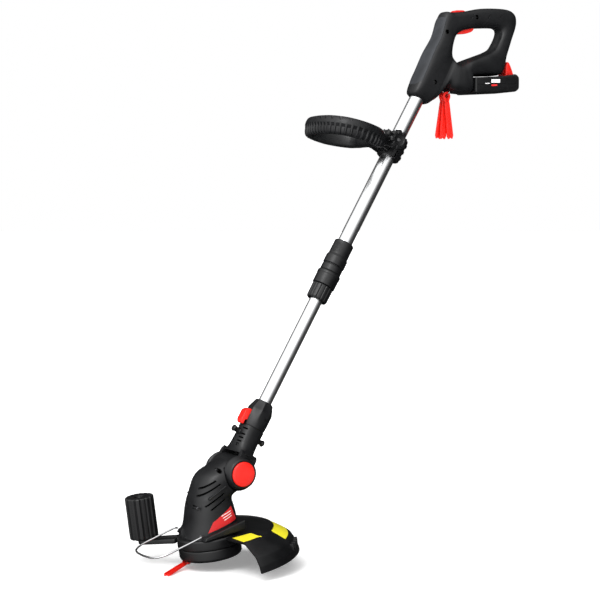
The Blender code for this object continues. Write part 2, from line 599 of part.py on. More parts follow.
def housing_half(name, side):
    """One half of the motor housing, lofted up the spindle axis."""
    rings = []
    for z, rear, front, half in HOUSING:
        ring = []
        middle = -(rear + front) / 2.0
        reach = (front - rear) / 2.0
        for inset, order in ((0.0, range(13)), (3.0, range(12, -1, -1))):
            for k in order:
                angle = math.pi * k / 12
                c = math.copysign(abs(math.cos(angle)) ** 0.72, math.cos(angle))
                s = max(0.0, math.sin(angle)) ** 0.72
                across = (half - inset) * s + GAP / 2.0
                ring.append(Vector((middle + (reach - inset) * c, side * across, z)))
        rings.append(ring)
    body = make(name, loft(rings), CHARCOAL, HEAD)
    bore = turned([(6.3, side * -2.0), (6.3, side * 60.0)], 24, axis="y")
    boolean(body, tool(name + "_axle_bore", bore, HEAD), "DIFFERENCE")
    pocket = turned([(BOSS_R + 0.6, side * 29.6), (BOSS_R + 0.6, side * 60.0)], 40, axis="y")
    boolean(body, tool(name + "_boss_pocket", pocket, HEAD), "DIFFERENCE")
    x, z = WIRE_PIVOT
    eye = turned([(WIRE_R + 0.5, side * 36.0), (WIRE_R + 0.5, side * 60.0)], 16, (x, 0.0, z), "y")
    boolean(body, tool(name + "_wire_eye", eye, HEAD), "DIFFERENCE")
    if side < 0.0:
        for i, (x, z) in enumerate(HOUSING_SCREWS):
            well = turned([(3.8, -60.0), (3.8, -10.0)], 16, (x, 0.0, z), "y")
            boolean(body, tool(name + "_screw_well_%d" % i, well, HEAD), "DIFFERENCE")
    return body


def guard():
    """The rear guard: a collar under the housing and a stepped, down-turned shield."""
    collar = pipe(GUARD_COLLAR_R, 22.0, -118.0, GUARD_TOP + 1.5, 40, (SPINDLE_X, 0.0, 0.0))
    body = make("guard", collar, BLACK, HEAD)
    w = GUARD_WALL
    section = [(52.0, GUARD_TOP), (116.0, GUARD_TOP), (142.0, -120.0), (GUARD_R, GUARD_BOTTOM),
               (GUARD_R - w, GUARD_BOTTOM), (142.0 - w, -120.0 - 1.5), (115.0, GUARD_TOP - w),
               (52.0, GUARD_TOP - w)]
    rings = []
    arc = 26
    for k in range(arc + 1):
        angle = math.radians(-85.0 + 170.0 * k / arc)
        rings.append([Vector((SPINDLE_X + radius * math.cos(angle), radius * math.sin(angle), z))
                      for radius, z in section])
    boolean(body, tool("guard_shield", loft(rings), HEAD), "UNION")
    for i, angle in enumerate((90.0, 270.0)):
        x = SPINDLE_X + 33.0 * math.cos(math.radians(angle))
        y = 33.0 * math.sin(math.radians(angle))
        hole = turned([(1.9, -130.0), (1.9, -90.0)], 16, (x, y, 0.0))
        boolean(body, tool("guard_screw_hole_%d" % i, hole, HEAD), "DIFFERENCE")
        well = turned([(4.0, -125.0), (4.0, -113.0)], 16, (x, y, 0.0))
        boolean(body, tool("guard_screw_well_%d" % i, well, HEAD), "DIFFERENCE")
        screw("guard_screw_%d" % (i + 1), (x, y, -116.0), HEAD, axis="z", length=24.0)


def edge_wheel():
    """Edging wheel on its arm beside the head."""
    x, y = WHEEL_AT
    heading = Vector((x - SPINDLE_X, y, 0.0)).normalized()
    side = Vector((-heading.y, heading.x, 0.0))
    start = Vector((SPINDLE_X, 0.0, 0.0)) + heading * (GUARD_COLLAR_R + 2.0 * GAP)
    end = Vector((x, y, 0.0))
    plan = [start - side * 16.0, end - side * 13.0, end + heading * 9.0 - side * 9.0,
            end + heading * 13.0, end + heading * 9.0 + side * 9.0, end + side * 13.0, start + side * 16.0]
    make("wheel_arm", plate([(p.x, p.y) for p in plan], -113.0, -104.5, 1.0), BLACK, HEAD, (x, y, 0.0))
    bolt = [(6.0, -31.0), (6.0, -28.6), (3.0, -28.6), (3.0, -104.2)]
    make("wheel_axle", turned(bolt, 20, (x, y, 0.0)), STEEL, HEAD, (x, y, 0.0))
    wheel = [(WHEEL_R - 1.0, -102.0), (WHEEL_R, -100.0), (WHEEL_R, -28.0), (WHEEL_R - 1.0, -26.0),
             (8.0, -26.0), (8.0, -35.0), (3.4, -35.0), (3.4, -102.0)]
    make("edge_wheel", turned(wheel, 48, (x, y, 0.0), hollow=True, flutes=16, flute_depth=1.8), BLACK, HEAD,
         (x, y, 0.0))


def wire_guard():
    """The bent steel wire that flips forward to keep plants off the blade."""
    px, pz = WIRE_PIVOT
    drop = math.radians(11.5)
    ahead = Vector((-math.cos(drop), 0.0, -math.sin(drop)))
    origin = Vector((px, 0.0, pz))
    plan = [(0.0, 45.5), (0.0, 49.0), (3.0, WIRE_HALF), (44.0, WIRE_HALF), (76.0, 50.0), (91.0, 40.0),
            (97.5, 20.0)]
    left = [origin + ahead * q + Vector((0.0, -y, 0.0)) for q, y in plan]
    right = [origin + ahead * q + Vector((0.0, y, 0.0)) for q, y in reversed(plan)]
    path = spline(left + right, 3)
    make("wire_guard", sweep(path, WIRE_R, WIRE_R, Vector((0.1, 0.0, 1.0)), segments=6), STEEL, HEAD, origin)


def motor_head():
    """Housing, motor, fan, guard, blade carrier, cutting blade, wire guard and edging wheel."""
    housing_half("motor_shell_left", -1.0)
    housing_half("motor_shell_right", 1.0)
    for i, (x, z) in enumerate(HOUSING_SCREWS):
        screw("housing_screw_%d" % (i + 1), (x, (-22.0, -34.0)[i], z), HEAD, length=16.0)
    at = (SPINDLE_X, 0.0, 0.0)
    can = [(9.0, -92.0), (17.5, -92.0), (17.5, -40.0), (16.0, -38.0), (3.4, -38.0), (3.4, -90.0),
           (9.0, -90.0)]
    make("motor_can", turned(can, 32, at, hollow=True), STEEL, HEAD)
    make("motor_shaft", turned([(3.0, -126.0), (3.0, -34.0)], 20, at), STEEL, HEAD, at)
    fan = [(16.0, -97.5), (16.0, -94.0), (3.2, -94.0), (3.2, -97.5)]
    make("cooling_fan", turned(fan, 36, at, hollow=True, flutes=12, flute_depth=4.0), BLACK, HEAD, at)
    make("motor_bearing", pipe(8.0, 3.2, -112.0, -105.0, 24, at), STEEL, HEAD)
    carrier = [(CARRIER_R - 5.0, -141.0), (CARRIER_R - 1.5, -139.5), (CARRIER_R, -136.0),
               (CARRIER_R, -121.0), (CARRIER_R - 2.0, -119.0),
               (3.2, -119.0), (3.2, -127.0), (10.0, -127.5), (10.0, -141.0)]
    make("blade_carrier", turned(carrier, 36, at, hollow=True), BLACK, HEAD, at)

    peg_x, peg_y = SPINDLE_X - 42.0, 14.0
    post = [(5.6, BLADE_TOP - BLADE_THICK - 2.4), (5.6, BLADE_TOP - BLADE_THICK - 0.5),
            (3.2, BLADE_TOP - BLADE_THICK - 0.5), (3.2, -141.3)]
    make("blade_post", turned(post, 20, (peg_x, peg_y, 0.0)), STEEL, HEAD, (peg_x, peg_y, 0.0))
    bm = blade_mesh(BLADE_THICK, BLADE_REACH, (0.0, 0.0, BLADE_TOP), 17.0)
    turn = Matrix.Translation(Vector((peg_x, peg_y, 0.0))) @ Matrix.Rotation(math.radians(34.0), 4, "Z")
    bmesh.ops.transform(bm, matrix=turn, verts=bm.verts)
    blade = make("cutting_blade", bm, RED, HEAD, (peg_x, peg_y, 0.0))
    eye = turned([(3.7, -155.0), (3.7, -135.0)], 20, (peg_x, peg_y, 0.0))
    boolean(blade, tool("blade_eye", eye, HEAD), "DIFFERENCE")
    guard()
    edge_wheel()
    wire_guard()


shaft()
second_handle()
rear_handle()
battery()
spare_blades()
neck()
motor_head()
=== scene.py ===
"""Looks of the cordless string trimmer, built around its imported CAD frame.

Lengths are in millimetres and MM turns them into metres. Each piece is modelled in one of three
frames whose origin is the head's tilting pivot: the world-aligned body frame, the shaft frame
(Z up the shaft, X to the rear) and the head frame (Z up the spindle, X to the rear).
"""
import math

import bmesh
import bpy
from mathutils import Matrix, Vector
from mathutils.bvhtree import BVHTree


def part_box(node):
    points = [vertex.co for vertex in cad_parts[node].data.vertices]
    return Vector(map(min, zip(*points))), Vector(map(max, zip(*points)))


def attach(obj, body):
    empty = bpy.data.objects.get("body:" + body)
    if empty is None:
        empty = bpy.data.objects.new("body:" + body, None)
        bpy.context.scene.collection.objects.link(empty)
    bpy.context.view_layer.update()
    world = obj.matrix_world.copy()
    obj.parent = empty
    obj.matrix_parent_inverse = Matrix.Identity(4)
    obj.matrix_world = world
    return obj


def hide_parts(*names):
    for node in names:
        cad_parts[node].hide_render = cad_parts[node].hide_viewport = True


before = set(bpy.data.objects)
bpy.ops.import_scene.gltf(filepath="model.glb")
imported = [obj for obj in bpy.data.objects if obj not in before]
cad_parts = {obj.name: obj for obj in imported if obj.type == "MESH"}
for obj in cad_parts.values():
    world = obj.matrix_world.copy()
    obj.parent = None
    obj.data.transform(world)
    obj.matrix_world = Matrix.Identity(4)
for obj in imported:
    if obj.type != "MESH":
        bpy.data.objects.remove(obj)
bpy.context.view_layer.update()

MM = 0.001
GAP = 0.3                    # clearance between neighbouring pieces
EDGE_EASE = 0.35             # radius that the materials round each edge to
CASE_SQUARENESS = 0.72       # exponent of the moulded cases' sections; 1 is an ellipse

# ---- frames
axle_low, axle_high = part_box("tilt_axle")
PIVOT = (axle_low + axle_high) / 2.0
SHAFT_LEAN = math.radians(30.8)
HEAD_PITCH = math.radians(8.0)
BODY = Matrix.Translation(PIVOT)
SHAFT = BODY @ Matrix.Rotation(SHAFT_LEAN, 4, "Y")
HEAD = BODY @ Matrix.Rotation(-HEAD_PITCH, 4, "Y")

# ---- shared dimensions
UPPER_TUBE_R = 14.0
LOWER_TUBE_R = 12.3
TUBE_WALL = 1.3
NUT_START = 351.0
RING_START = 381.0
SLEEVE_START = 409.3
SLEEVE_END = 472.0
CLAMP_CENTRE = 680.0
CLAMP_HALF = 22.0
BOLT_AT = Vector((-25.0, 0.0, CLAMP_CENTRE))
COLLAR = (85.5, 138.0)
SPINDLE_X = -60.0
BOSS_R = 32.0
BOSS_FACE = 48.0
BUTTON_R = 22.0
HOUSING_BOTTOM = -100.0
GUARD_TOP = -102.0
GUARD_BOTTOM = -149.5
GUARD_R = 158.0
GUARD_WALL = 3.0
CARRIER_R = 56.0
GUARD_COLLAR_R = 57.0
BLADE_TOP = -143.7
WIRE_R = 1.75
WIRE_PIVOT = (-98.0, -90.0)
WHEEL_AT = (-146.0, 85.0)
WHEEL_R = 26.0


# ---- materials
def add_node(tree, kind, **inputs):
    """A new shader node with values set on its named inputs."""
    made = tree.nodes.new(kind)
    for key, value in inputs.items():
        made.inputs[key.replace("_", " ")].default_value = value
    return made


def finish(name, colour, roughness, metallic=0.0, grain=1500.0, depth=0.03, mottle=0.22, wear=0.5,
           stretch=(1.0, 1.0, 1.0), coat=0.0):
    """A moulded, painted or metal surface.

    Fine grain gives the bump, a broad noise varies colour and roughness, and a rounded-edge
    comparison lightens the edges. Grain is in cycles per metre and depth in millimetres.
    """
    material = bpy.data.materials.new(name)
    material.use_nodes = True
    tree = material.node_tree
    shader = tree.nodes["Principled BSDF"]
    shader.inputs["Metallic"].default_value = metallic
    shader.inputs["Coat Weight"].default_value = coat
    shader.inputs["Specular IOR Level"].default_value = 0.4
    shader.inputs["Coat Roughness"].default_value = 0.12
    material.diffuse_color = (*colour, 1.0)

    link = tree.links.new
    place = add_node(tree, "ShaderNodeTexCoord")
    mapping = add_node(tree, "ShaderNodeMapping", Scale=stretch)
    link(place.outputs["Object"], mapping.inputs["Vector"])
    fine = add_node(tree, "ShaderNodeTexNoise", Scale=grain, Detail=2.0, Roughness=0.55)
    broad = add_node(tree, "ShaderNodeTexNoise", Scale=34.0, Detail=4.0, Roughness=0.6)
    link(mapping.outputs["Vector"], fine.inputs["Vector"])
    link(mapping.outputs["Vector"], broad.inputs["Vector"])

    soft = add_node(tree, "ShaderNodeBevel", Radius=EDGE_EASE * MM)
    soft.samples = 4
    bump = add_node(tree, "ShaderNodeBump", Strength=0.5, Distance=depth * MM)
    link(fine.outputs["Fac"], bump.inputs["Height"])
    link(soft.outputs["Normal"], bump.inputs["Normal"])
    link(bump.outputs["Normal"], shader.inputs["Normal"])

    geometry = add_node(tree, "ShaderNodeNewGeometry")
    bend = add_node(tree, "ShaderNodeVectorMath")
    bend.operation = "DOT_PRODUCT"
    link(soft.outputs["Normal"], bend.inputs[0])
    link(geometry.outputs["Normal"], bend.inputs[1])
    worn = add_node(tree, "ShaderNodeMapRange", From_Min=0.995, From_Max=0.85, To_Min=0.0, To_Max=wear)
    link(bend.outputs["Value"], worn.inputs["Value"])

    tone = tree.nodes.new("ShaderNodeValToRGB")
    dark, light = tone.color_ramp.elements
    dark.position, light.position = 0.3, 0.72
    dark.color = (*[c * (1.0 - mottle) for c in colour], 1.0)
    light.color = (*[min(1.0, c * (1.0 + mottle)) for c in colour], 1.0)
    link(broad.outputs["Fac"], tone.inputs["Fac"])
    mix = tree.nodes.new("ShaderNodeMix")
    mix.data_type = "RGBA"
    pale = [min(1.0, c * 1.6 + 0.012) for c in colour]
    mix.inputs["B"].default_value = (*pale, 1.0)
    link(worn.outputs["Result"], mix.inputs["Factor"])
    link(tone.outputs["Color"], mix.inputs["A"])
    link(mix.outputs["Result"], shader.inputs["Base Color"])

    gloss = add_node(tree, "ShaderNodeMapRange", From_Min=0.25, From_Max=0.75,
                     To_Min=max(0.05, roughness - 0.07), To_Max=roughness + 0.09)
    link(broad.outputs["Fac"], gloss.inputs["Value"])
    link(gloss.outputs["Result"], shader.inputs["Roughness"])
    return material


# Each look is a material and the record slot that it fills; printed labels have no slot.
CHARCOAL = (finish("charcoal_plastic", (0.0045, 0.0048, 0.0056), 0.42, depth=0.05), "charcoal_plastic")
BLACK = (finish("black_plastic", (0.0035, 0.0037, 0.0042), 0.40, depth=0.04), "black_plastic")
RUBBER = (finish("grip_rubber", (0.022, 0.024, 0.028), 0.62, grain=600.0, depth=0.22, mottle=0.4),
          "charcoal_plastic")
RED = (finish("red_plastic", (0.72, 0.010, 0.004), 0.38, depth=0.02, mottle=0.06, wear=0.2, coat=0.1),
       "red_plastic")
TUBE = (finish("aluminium_tube", (0.86, 0.87, 0.88), 0.30, 1.0, grain=1600.0, depth=0.012, mottle=0.03,
               wear=0.1, stretch=(1.0, 1.0, 0.02)), "aluminium_tube")
STEEL = (finish("steel", (0.66, 0.66, 0.67), 0.24, 1.0, grain=1800.0, depth=0.01, mottle=0.06, wear=0.2),
         "steel")
# Dark steel for the screws, the wheel pin and the motor can. On the screws its darkness is painted shade for
# the dark screw wells. On the motor can it is painted shade for the inside of the housing behind the vents.
DARK_STEEL_AND_SHADE = (finish("dark_steel_and_shade", (0.10, 0.10, 0.105), 0.42, 1.0, depth=0.01, mottle=0.1), "steel")
CELL = (finish("cell_wrap", (0.05, 0.22, 0.10), 0.4), "cell_wrap")
YELLOW_LABEL = (finish("yellow_label", (0.90, 0.80, 0.03), 0.38, depth=0.01, mottle=0.04, wear=0.1), None)
RED_LABEL = (finish("red_label", (0.52, 0.012, 0.014), 0.36, depth=0.01, mottle=0.05, wear=0.1), None)
WHITE_PRINT = (finish("white_print", (0.82, 0.82, 0.82), 0.4, depth=0.01, mottle=0.05), None)
RED_PRINT = (finish("red_print", (0.70, 0.02, 0.02), 0.4, depth=0.01, mottle=0.05), None)


# ---- outlines
def bulged(value, exponent):
    """A sine or cosine raised to a power that squares up a section; it keeps its sign."""
    return math.copysign(abs(value) ** exponent, value)


def rounded(points, radius, steps=4, closed=True):
    """An outline with its corners eased to about the given radius."""
    out = []
    count = len(points)
    for i, point in enumerate(points):
        here = Vector(point)
        if not closed and i in (0, count - 1):
            out.append(here)
            continue
        before = Vector(points[i - 1]) - here
        after = Vector(points[(i + 1) % count]) - here
        reach = min(radius, 0.45 * before.length, 0.45 * after.length)
        start = here + before.normalized() * reach
        end = here + after.normalized() * reach
        for k in range(steps + 1):
            t = k / steps
            out.append(start * (1.0 - t) ** 2 + here * 2.0 * t * (1.0 - t) + end * t * t)
    return out


def spline(points, steps, closed=False):
    """A curve through the points whose tangents follow the chord lengths, so that it never loops."""
    count = len(points)
    points = [Vector(p) for p in points]
    spans = count if closed else count - 1

    def slope(i):
        if closed:
            before, here, after = points[(i - 1) % count], points[i % count], points[(i + 1) % count]
        else:
            before, here, after = points[max(i - 1, 0)], points[i], points[min(i + 1, count - 1)]
        reach = (here - before).length + (after - here).length
        return (after - before) / max(reach, 1e-9)

    out = []
    for i in range(spans):
        start, end = points[i], points[(i + 1) % count]
        chord = (end - start).length
        first, last = slope(i) * chord, slope(i + 1) * chord
        for s in range(steps):
            t = s / steps
            out.append(start * (2 * t ** 3 - 3 * t ** 2 + 1) + first * (t ** 3 - 2 * t ** 2 + t)
                       + end * (3 * t ** 2 - 2 * t ** 3) + last * (t ** 3 - t ** 2))
    if not closed:
        out.append(points[-1])
    return out


def offset(outline, inset):
    """The outline moved inwards; it runs anticlockwise seen with its second axis up."""
    count = len(outline)
    moved = []
    for i, point in enumerate(outline):
        here = Vector(point)
        first = (here - Vector(outline[i - 1])).normalized()
        second = (Vector(outline[(i + 1) % count]) - here).normalized()
        normal = Vector((-first.y - second.y, first.x + second.x))
        moved.append(here + normal * inset / max(0.35, 1.0 + first.dot(second)))
    return moved


def anticlockwise(outline):
    """The outline in the sense that offset() needs."""
    ends = outline[1:] + outline[:1]
    area = sum(a[0] * b[1] - b[0] * a[1] for a, b in zip(outline, ends))
    return outline if area > 0.0 else outline[::-1]


def oblong(half_long, half_wide, radius):
    """A rounded rectangle about the origin."""
    return rounded([(-half_long, -half_wide), (half_long, -half_wide), (half_long, half_wide),
                    (-half_long, half_wide)], radius)


def eased(low, high, edge, steps):
    """(level, inset) pairs of a plate whose two rims are quarter rounds."""
    turns = [math.pi / 2 * k / steps for k in range(steps + 1)]
    rim = [(edge * (1.0 - math.cos(turn)), edge * (1.0 - math.sin(turn))) for turn in turns]
    return [(low + rise, inset) for rise, inset in rim] + [(high - rise, inset) for rise, inset in rim[::-1]]


# ---- solids
def loft(rings, closed=False):
    """Skin matching rings; open lofts get flat caps, closed lofts join last to first."""
    bm = bmesh.new()
    rows = [[bm.verts.new(point) for point in ring] for ring in rings]
    pairs = list(zip(rows, rows[1:]))
    if closed:
        pairs.append((rows[-1], rows[0]))
    count = len(rows[0])
    for lower, upper in pairs:
        for i in range(count):
            j = (i + 1) % count
            bm.faces.new((lower[i], lower[j], upper[j], upper[i]))
    if not closed:
        bm.faces.new(rows[0])
        bm.faces.new(rows[-1])
    bmesh.ops.recalc_face_normals(bm, faces=bm.faces)
    return bm


AXES = {"z": lambda a, b, h: (a, b, h), "y": lambda a, b, h: (a, h, b), "x": lambda a, b, h: (h, a, b)}


def turned(levels, segments=64, centre=(0.0, 0.0, 0.0), axis="z", hollow=False, soften=0.0, flutes=0,
           flute_depth=0.0, sharpness=1.0):
    """A turned solid of (radius, height) levels; a hollow one returns down its inside."""
    fluted_from = 0.8 * max(radius for radius, _ in levels)
    if soften:
        levels = rounded(levels, soften, 3, closed=hollow)
    rings = []
    for radius, height in levels:
        ring = []
        depth = flute_depth if radius > fluted_from else 0.0
        for i in range(segments):
            angle = 2.0 * math.pi * i / segments
            reach = radius - depth * max(0.0, math.cos(flutes * angle)) ** sharpness
            place = AXES[axis](reach * math.cos(angle), reach * math.sin(angle), height)
            ring.append(Vector(centre) + Vector(place))
        rings.append(ring)
    return loft(rings, closed=hollow)


def slab(outline, low, high, edge=0.6, across="y", steps=3):
    """A plate with rounded rims; its outline stands across the given axis."""
    rings = []
    for level, inset in eased(low, high, edge, steps):
        rings.append([Vector(AXES[across](p[0], p[1], level)) for p in offset(outline, inset)])
    return loft(rings)


def box(low, high, edge=0.0):
    """A box between two corners with its vertical edges and rims rounded."""
    (x0, y0, z0), (x1, y1, z1) = low, high
    plan = [(x0, y0), (x1, y0), (x1, y1), (x0, y1)]
    if not edge:
        return loft([[Vector((x, y, z)) for x, y in plan] for z in (z0, z1)])
    return slab(rounded(plan, edge * 1.5), z0, z1, edge, "z")


def sweep(path, half_wide, half_high, up, segments=20, power=2.0):
    """A bar of superellipse section along a path; up is the section's height direction."""
    rings = []
    last = len(path) - 1
    for i, point in enumerate(path):
        along = (path[min(i + 1, last)] - path[max(i - 1, 0)]).normalized()
        high = (up - along * up.dot(along)).normalized()
        wide = along.cross(high)
        ring = []
        for k in range(segments):
            angle = 2.0 * math.pi * (k + 0.5) / segments
            c = bulged(math.cos(angle), 2.0 / power)
            s = bulged(math.sin(angle), 2.0 / power)
            ring.append(point + wide * half_wide * c + high * half_high * s)
        rings.append(ring)
    return loft(rings)


def half_case(levels, wall, steps, side):
    """Half of a hollow lofted case, from (height, middle, half length, half width) levels."""
    rings = []
    for z, middle, reach, half in levels:
        ring = []
        for inset, order in ((0.0, range(steps + 1)), (wall, range(steps, -1, -1))):
            for k in order:
                angle = math.pi * k / steps
                c = bulged(math.cos(angle), CASE_SQUARENESS)
                s = max(0.0, math.sin(angle)) ** CASE_SQUARENESS
                across = side * ((half - inset) * s + GAP / 2.0)
                ring.append(Vector((middle + (reach - inset) * c, across, z)))
        rings.append(ring)
    return loft(rings)


def between(side, near, far):
    """The two distances out along Y on one side, lower first."""
    return sorted((side * near, side * far))


def tilted(bm, angle, axis, about):
    """Turn a mesh about an axis through a point."""
    there = Matrix.Translation(Vector(about))
    place = there @ Matrix.Rotation(angle, 4, axis) @ Matrix.Translation(-Vector(about))
    bmesh.ops.transform(bm, matrix=place, verts=bm.verts)
    return bm


# ---- pieces
def placed(name, data):
    """An object for some data, linked to the scene."""
    obj = bpy.data.objects.new(name, data)
    bpy.context.collection.objects.link(obj)
    return obj


def solid(name, bm, where):
    """An object in its frame, from a mesh in that frame's millimetres."""
    bmesh.ops.scale(bm, vec=(MM, MM, MM), verts=bm.verts)
    mesh = bpy.data.meshes.new(name)
    bm.to_mesh(mesh)
    bm.free()
    obj = placed(name, mesh)
    obj.matrix_world = where
    return obj


def carve(obj, tools, operation="DIFFERENCE"):
    """Apply a Boolean of each mesh in turn; a tool that touches edge to edge is nudged and retried."""
    for bm in tools:
        cutter = solid("cutter", bm, obj.matrix_world.copy())
        modifier = obj.modifiers.new("carve", "BOOLEAN")
        modifier.object = cutter
        modifier.operation = operation
        modifier.solver = "EXACT"
        for nudge in (0.0, 0.013, -0.017, 0.031):
            cutter.data.transform(Matrix.Translation(Vector((nudge, nudge * 0.7, nudge * 1.3)) * MM))
            bpy.context.view_layer.update()
            graph = bpy.context.evaluated_depsgraph_get()
            mesh = bpy.data.meshes.new_from_object(obj.evaluated_get(graph))
            if len(mesh.vertices) > 0.5 * len(obj.data.vertices):
                break
            bpy.data.meshes.remove(mesh)
            mesh = None
        obj.modifiers.clear()
        if mesh:
            old = obj.data
            obj.data = mesh
            bpy.data.meshes.remove(old)
        else:
            print("left uncut:", obj.name)
        bpy.data.objects.remove(cutter)
    return obj


def piece(obj, look, body, replaces=(), sharp=32.0):
    """Shade an object, give it its material, and let it ride its body."""
    material, slot = look
    obj.data.materials.clear()
    obj.data.materials.append(material)
    obj.data.shade_smooth()
    obj.data.set_sharp_from_angle(angle=math.radians(sharp))
    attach(obj, body)
    if replaces:
        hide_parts(*replaces)
    return obj


def part(name, bm, where, look, body, node=None):
    """A finished piece straight from its mesh; it stands for the CAD node when one is named."""
    return piece(solid(name, bm, where), look, body, [node] if node else ())


def sheet_on(name, target, outline, plane, look, body, lift=0.25, thick=0.25, grid=18):
    """A thin label laid on an object: a quad outline in a plane, dropped onto the surface.

    The outline has four corners, and plane maps (a, b) to a start point and a direction.
    """
    tree = BVHTree.FromObject(target, bpy.context.evaluated_depsgraph_get())
    corners = [Vector(corner) for corner in outline]
    rows = []
    for i in range(grid + 1):
        row = []
        for k in range(grid + 1):
            s, t = i / grid, k / grid
            flat = (corners[0] * (1 - s) * (1 - t) + corners[1] * s * (1 - t) + corners[2] * s * t
                    + corners[3] * (1 - s) * t)
            start, direction = plane(flat)
            hit, normal, _, _ = tree.ray_cast(Vector(start) * MM, Vector(direction))
            if hit is None:
                return None
            row.append((hit, normal))
        rows.append(row)
    bm = bmesh.new()
    layers = []
    for height in (lift, lift - thick):
        layers.append([[bm.verts.new((hit + normal * height * MM) / MM) for hit, normal in row]
                       for row in rows])
    top, under = layers
    for i in range(grid):
        for k in range(grid):
            bm.faces.new((top[i][k], top[i + 1][k], top[i + 1][k + 1], top[i][k + 1]))
            bm.faces.new((under[i][k], under[i][k + 1], under[i + 1][k + 1], under[i + 1][k]))
    rim = ([(0, k) for k in range(grid)] + [(i, grid) for i in range(grid)]
           + [(grid, k) for k in range(grid, 0, -1)] + [(i, 0) for i in range(grid, 0, -1)])
    for (a, b), (c, d) in zip(rim, rim[1:] + rim[:1]):
        bm.faces.new((top[a][b], top[c][d], under[c][d], under[a][b]))
    bmesh.ops.recalc_face_normals(bm, faces=bm.faces)
    return piece(solid(name, bm, target.matrix_world.copy()), look, body)


def screw(name, at, where, body, node, axis="y", length=14.0):
    """A pan-head screw with a cross recess."""
    profile = [(2.3, 0.0), (2.95, 0.35), (3.2, 1.0), (3.2, 2.2), (1.5, 2.2), (1.5, length)]
    obj = solid(name, turned(profile, 32, at, axis), where)
    slots = []
    for a, b in ((2.1, 0.45), (0.45, 2.1)):
        low = Vector(AXES[axis](-a, -b, -1.1))
        high = Vector(AXES[axis](a, b, 1.1))
        slots.append(box(Vector(at) + low, Vector(at) + high))
    carve(obj, slots)
    # The dark steel is painted shade: it stands in for the shade in the screw's well.
    return piece(obj, DARK_STEEL_AND_SHADE, body, [node])


# ---- telescopic shaft
def shaft():
    """Tubes and the telescopic clamp."""
    for name, radius, low, high, body in (("tube_upper", UPPER_TUBE_R, 432.0, 905.0, "handle"),
                                          ("tube_lower", LOWER_TUBE_R, 92.0, 600.0, "lower_shaft")):
        bore = radius - TUBE_WALL
        profile = [(radius, low), (radius, high), (bore, high), (bore, low)]
        obj = solid(name, turned(profile, 96, hollow=True, soften=0.3), SHAFT)
        piece(obj, TUBE, body, [name.split("_")[1] + "_tube"])

    seat = UPPER_TUBE_R + 0.15
    step = 431.7
    profile = [(18.0, SLEEVE_END), (seat, SLEEVE_END), (seat, step), (16.6, step), (16.6, SLEEVE_START),
               (20.0, SLEEVE_START), (20.2, 420.6), (18.6, 421.4), (18.6, 423.0), (20.9, 423.8),
               (20.9, 439.0), (19.0, 443.5), (18.8, SLEEVE_END - 1.5)]
    sleeve = solid("joint_sleeve", turned(profile, 96, hollow=True, soften=0.7), SHAFT)
    ribs = []
    for k in range(7):
        angle = math.radians(196.0 + 6.0 * k)
        rib = box((18.0, -0.45, 446.0), (19.5, 0.45, 466.0), 0.2)
        ribs.append(tilted(rib, angle, "Z", (0.0, 0.0, 0.0)))
    carve(sleeve, ribs, "UNION")
    piece(sleeve, BLACK, "handle", ["telescope_sleeve"])

    profile = [(20.4, SLEEVE_START - GAP), (16.6, SLEEVE_START - GAP), (16.6, RING_START), (21.6, RING_START),
               (21.9, RING_START + 20.0), (22.4, RING_START + 21.0), (22.4, RING_START + 25.0)]
    part("joint_ring", turned(profile, 96, hollow=True, soften=0.7), SHAFT, BLACK, "handle", "telescope_ring")
    profile = [(16.2, 431.1), (12.8, 431.1), (12.8, 384.0), (16.2, 384.0)]
    collet = turned(profile, 64, hollow=True, soften=0.3)
    part("joint_collet", collet, SHAFT, BLACK, "handle", "telescope_collet")

    top = RING_START - GAP
    profile = [(19.9, NUT_START + 3.0), (20.2, top - 2.0), (19.0, top), (12.8, top), (12.8, NUT_START + 6.0),
               (16.4, NUT_START + 5.0), (17.0, NUT_START), (18.4, NUT_START)]
    nut = turned(profile, 168, hollow=True, soften=0.8, flutes=14, flute_depth=1.1, sharpness=7.0)
    part("joint_nut", nut, SHAFT, BLACK, "clamp_nut", "clamp_nut")


# ---- second handle
CLAMP_R = 22.0
CLAMP_BORE = UPPER_TUBE_R + 0.15
LOOP_RISE = math.radians(14.0)       # the loop stands this much above the shaft's square
GRIP_TALL = 17.0
GRIP_HALF_WIDE = 9.5
# Reach along the loop and half spread of its centre line, from the clamp to the front.
LOOP_PLAN = ((33.0, 18.0), (32.0, 34.0), (39.0, 50.0), (62.0, 65.0), (94.0, 71.0), (122.0, 62.0),
             (138.0, 39.0), (143.0, 14.0))


def clamp_plan(side, steps=24):
    """Half ring round the tube."""
    inner = []
    outer = []
    for k in range(steps + 1):
        angle = math.radians(-86.0 + 172.0 * k / steps)
        inner.append((side * CLAMP_BORE * math.cos(angle), CLAMP_BORE * math.sin(angle)))
        outer.append((side * CLAMP_R * math.cos(angle), (CLAMP_R + 1.0) * math.sin(angle)))
    return anticlockwise(outer + inner[::-1])


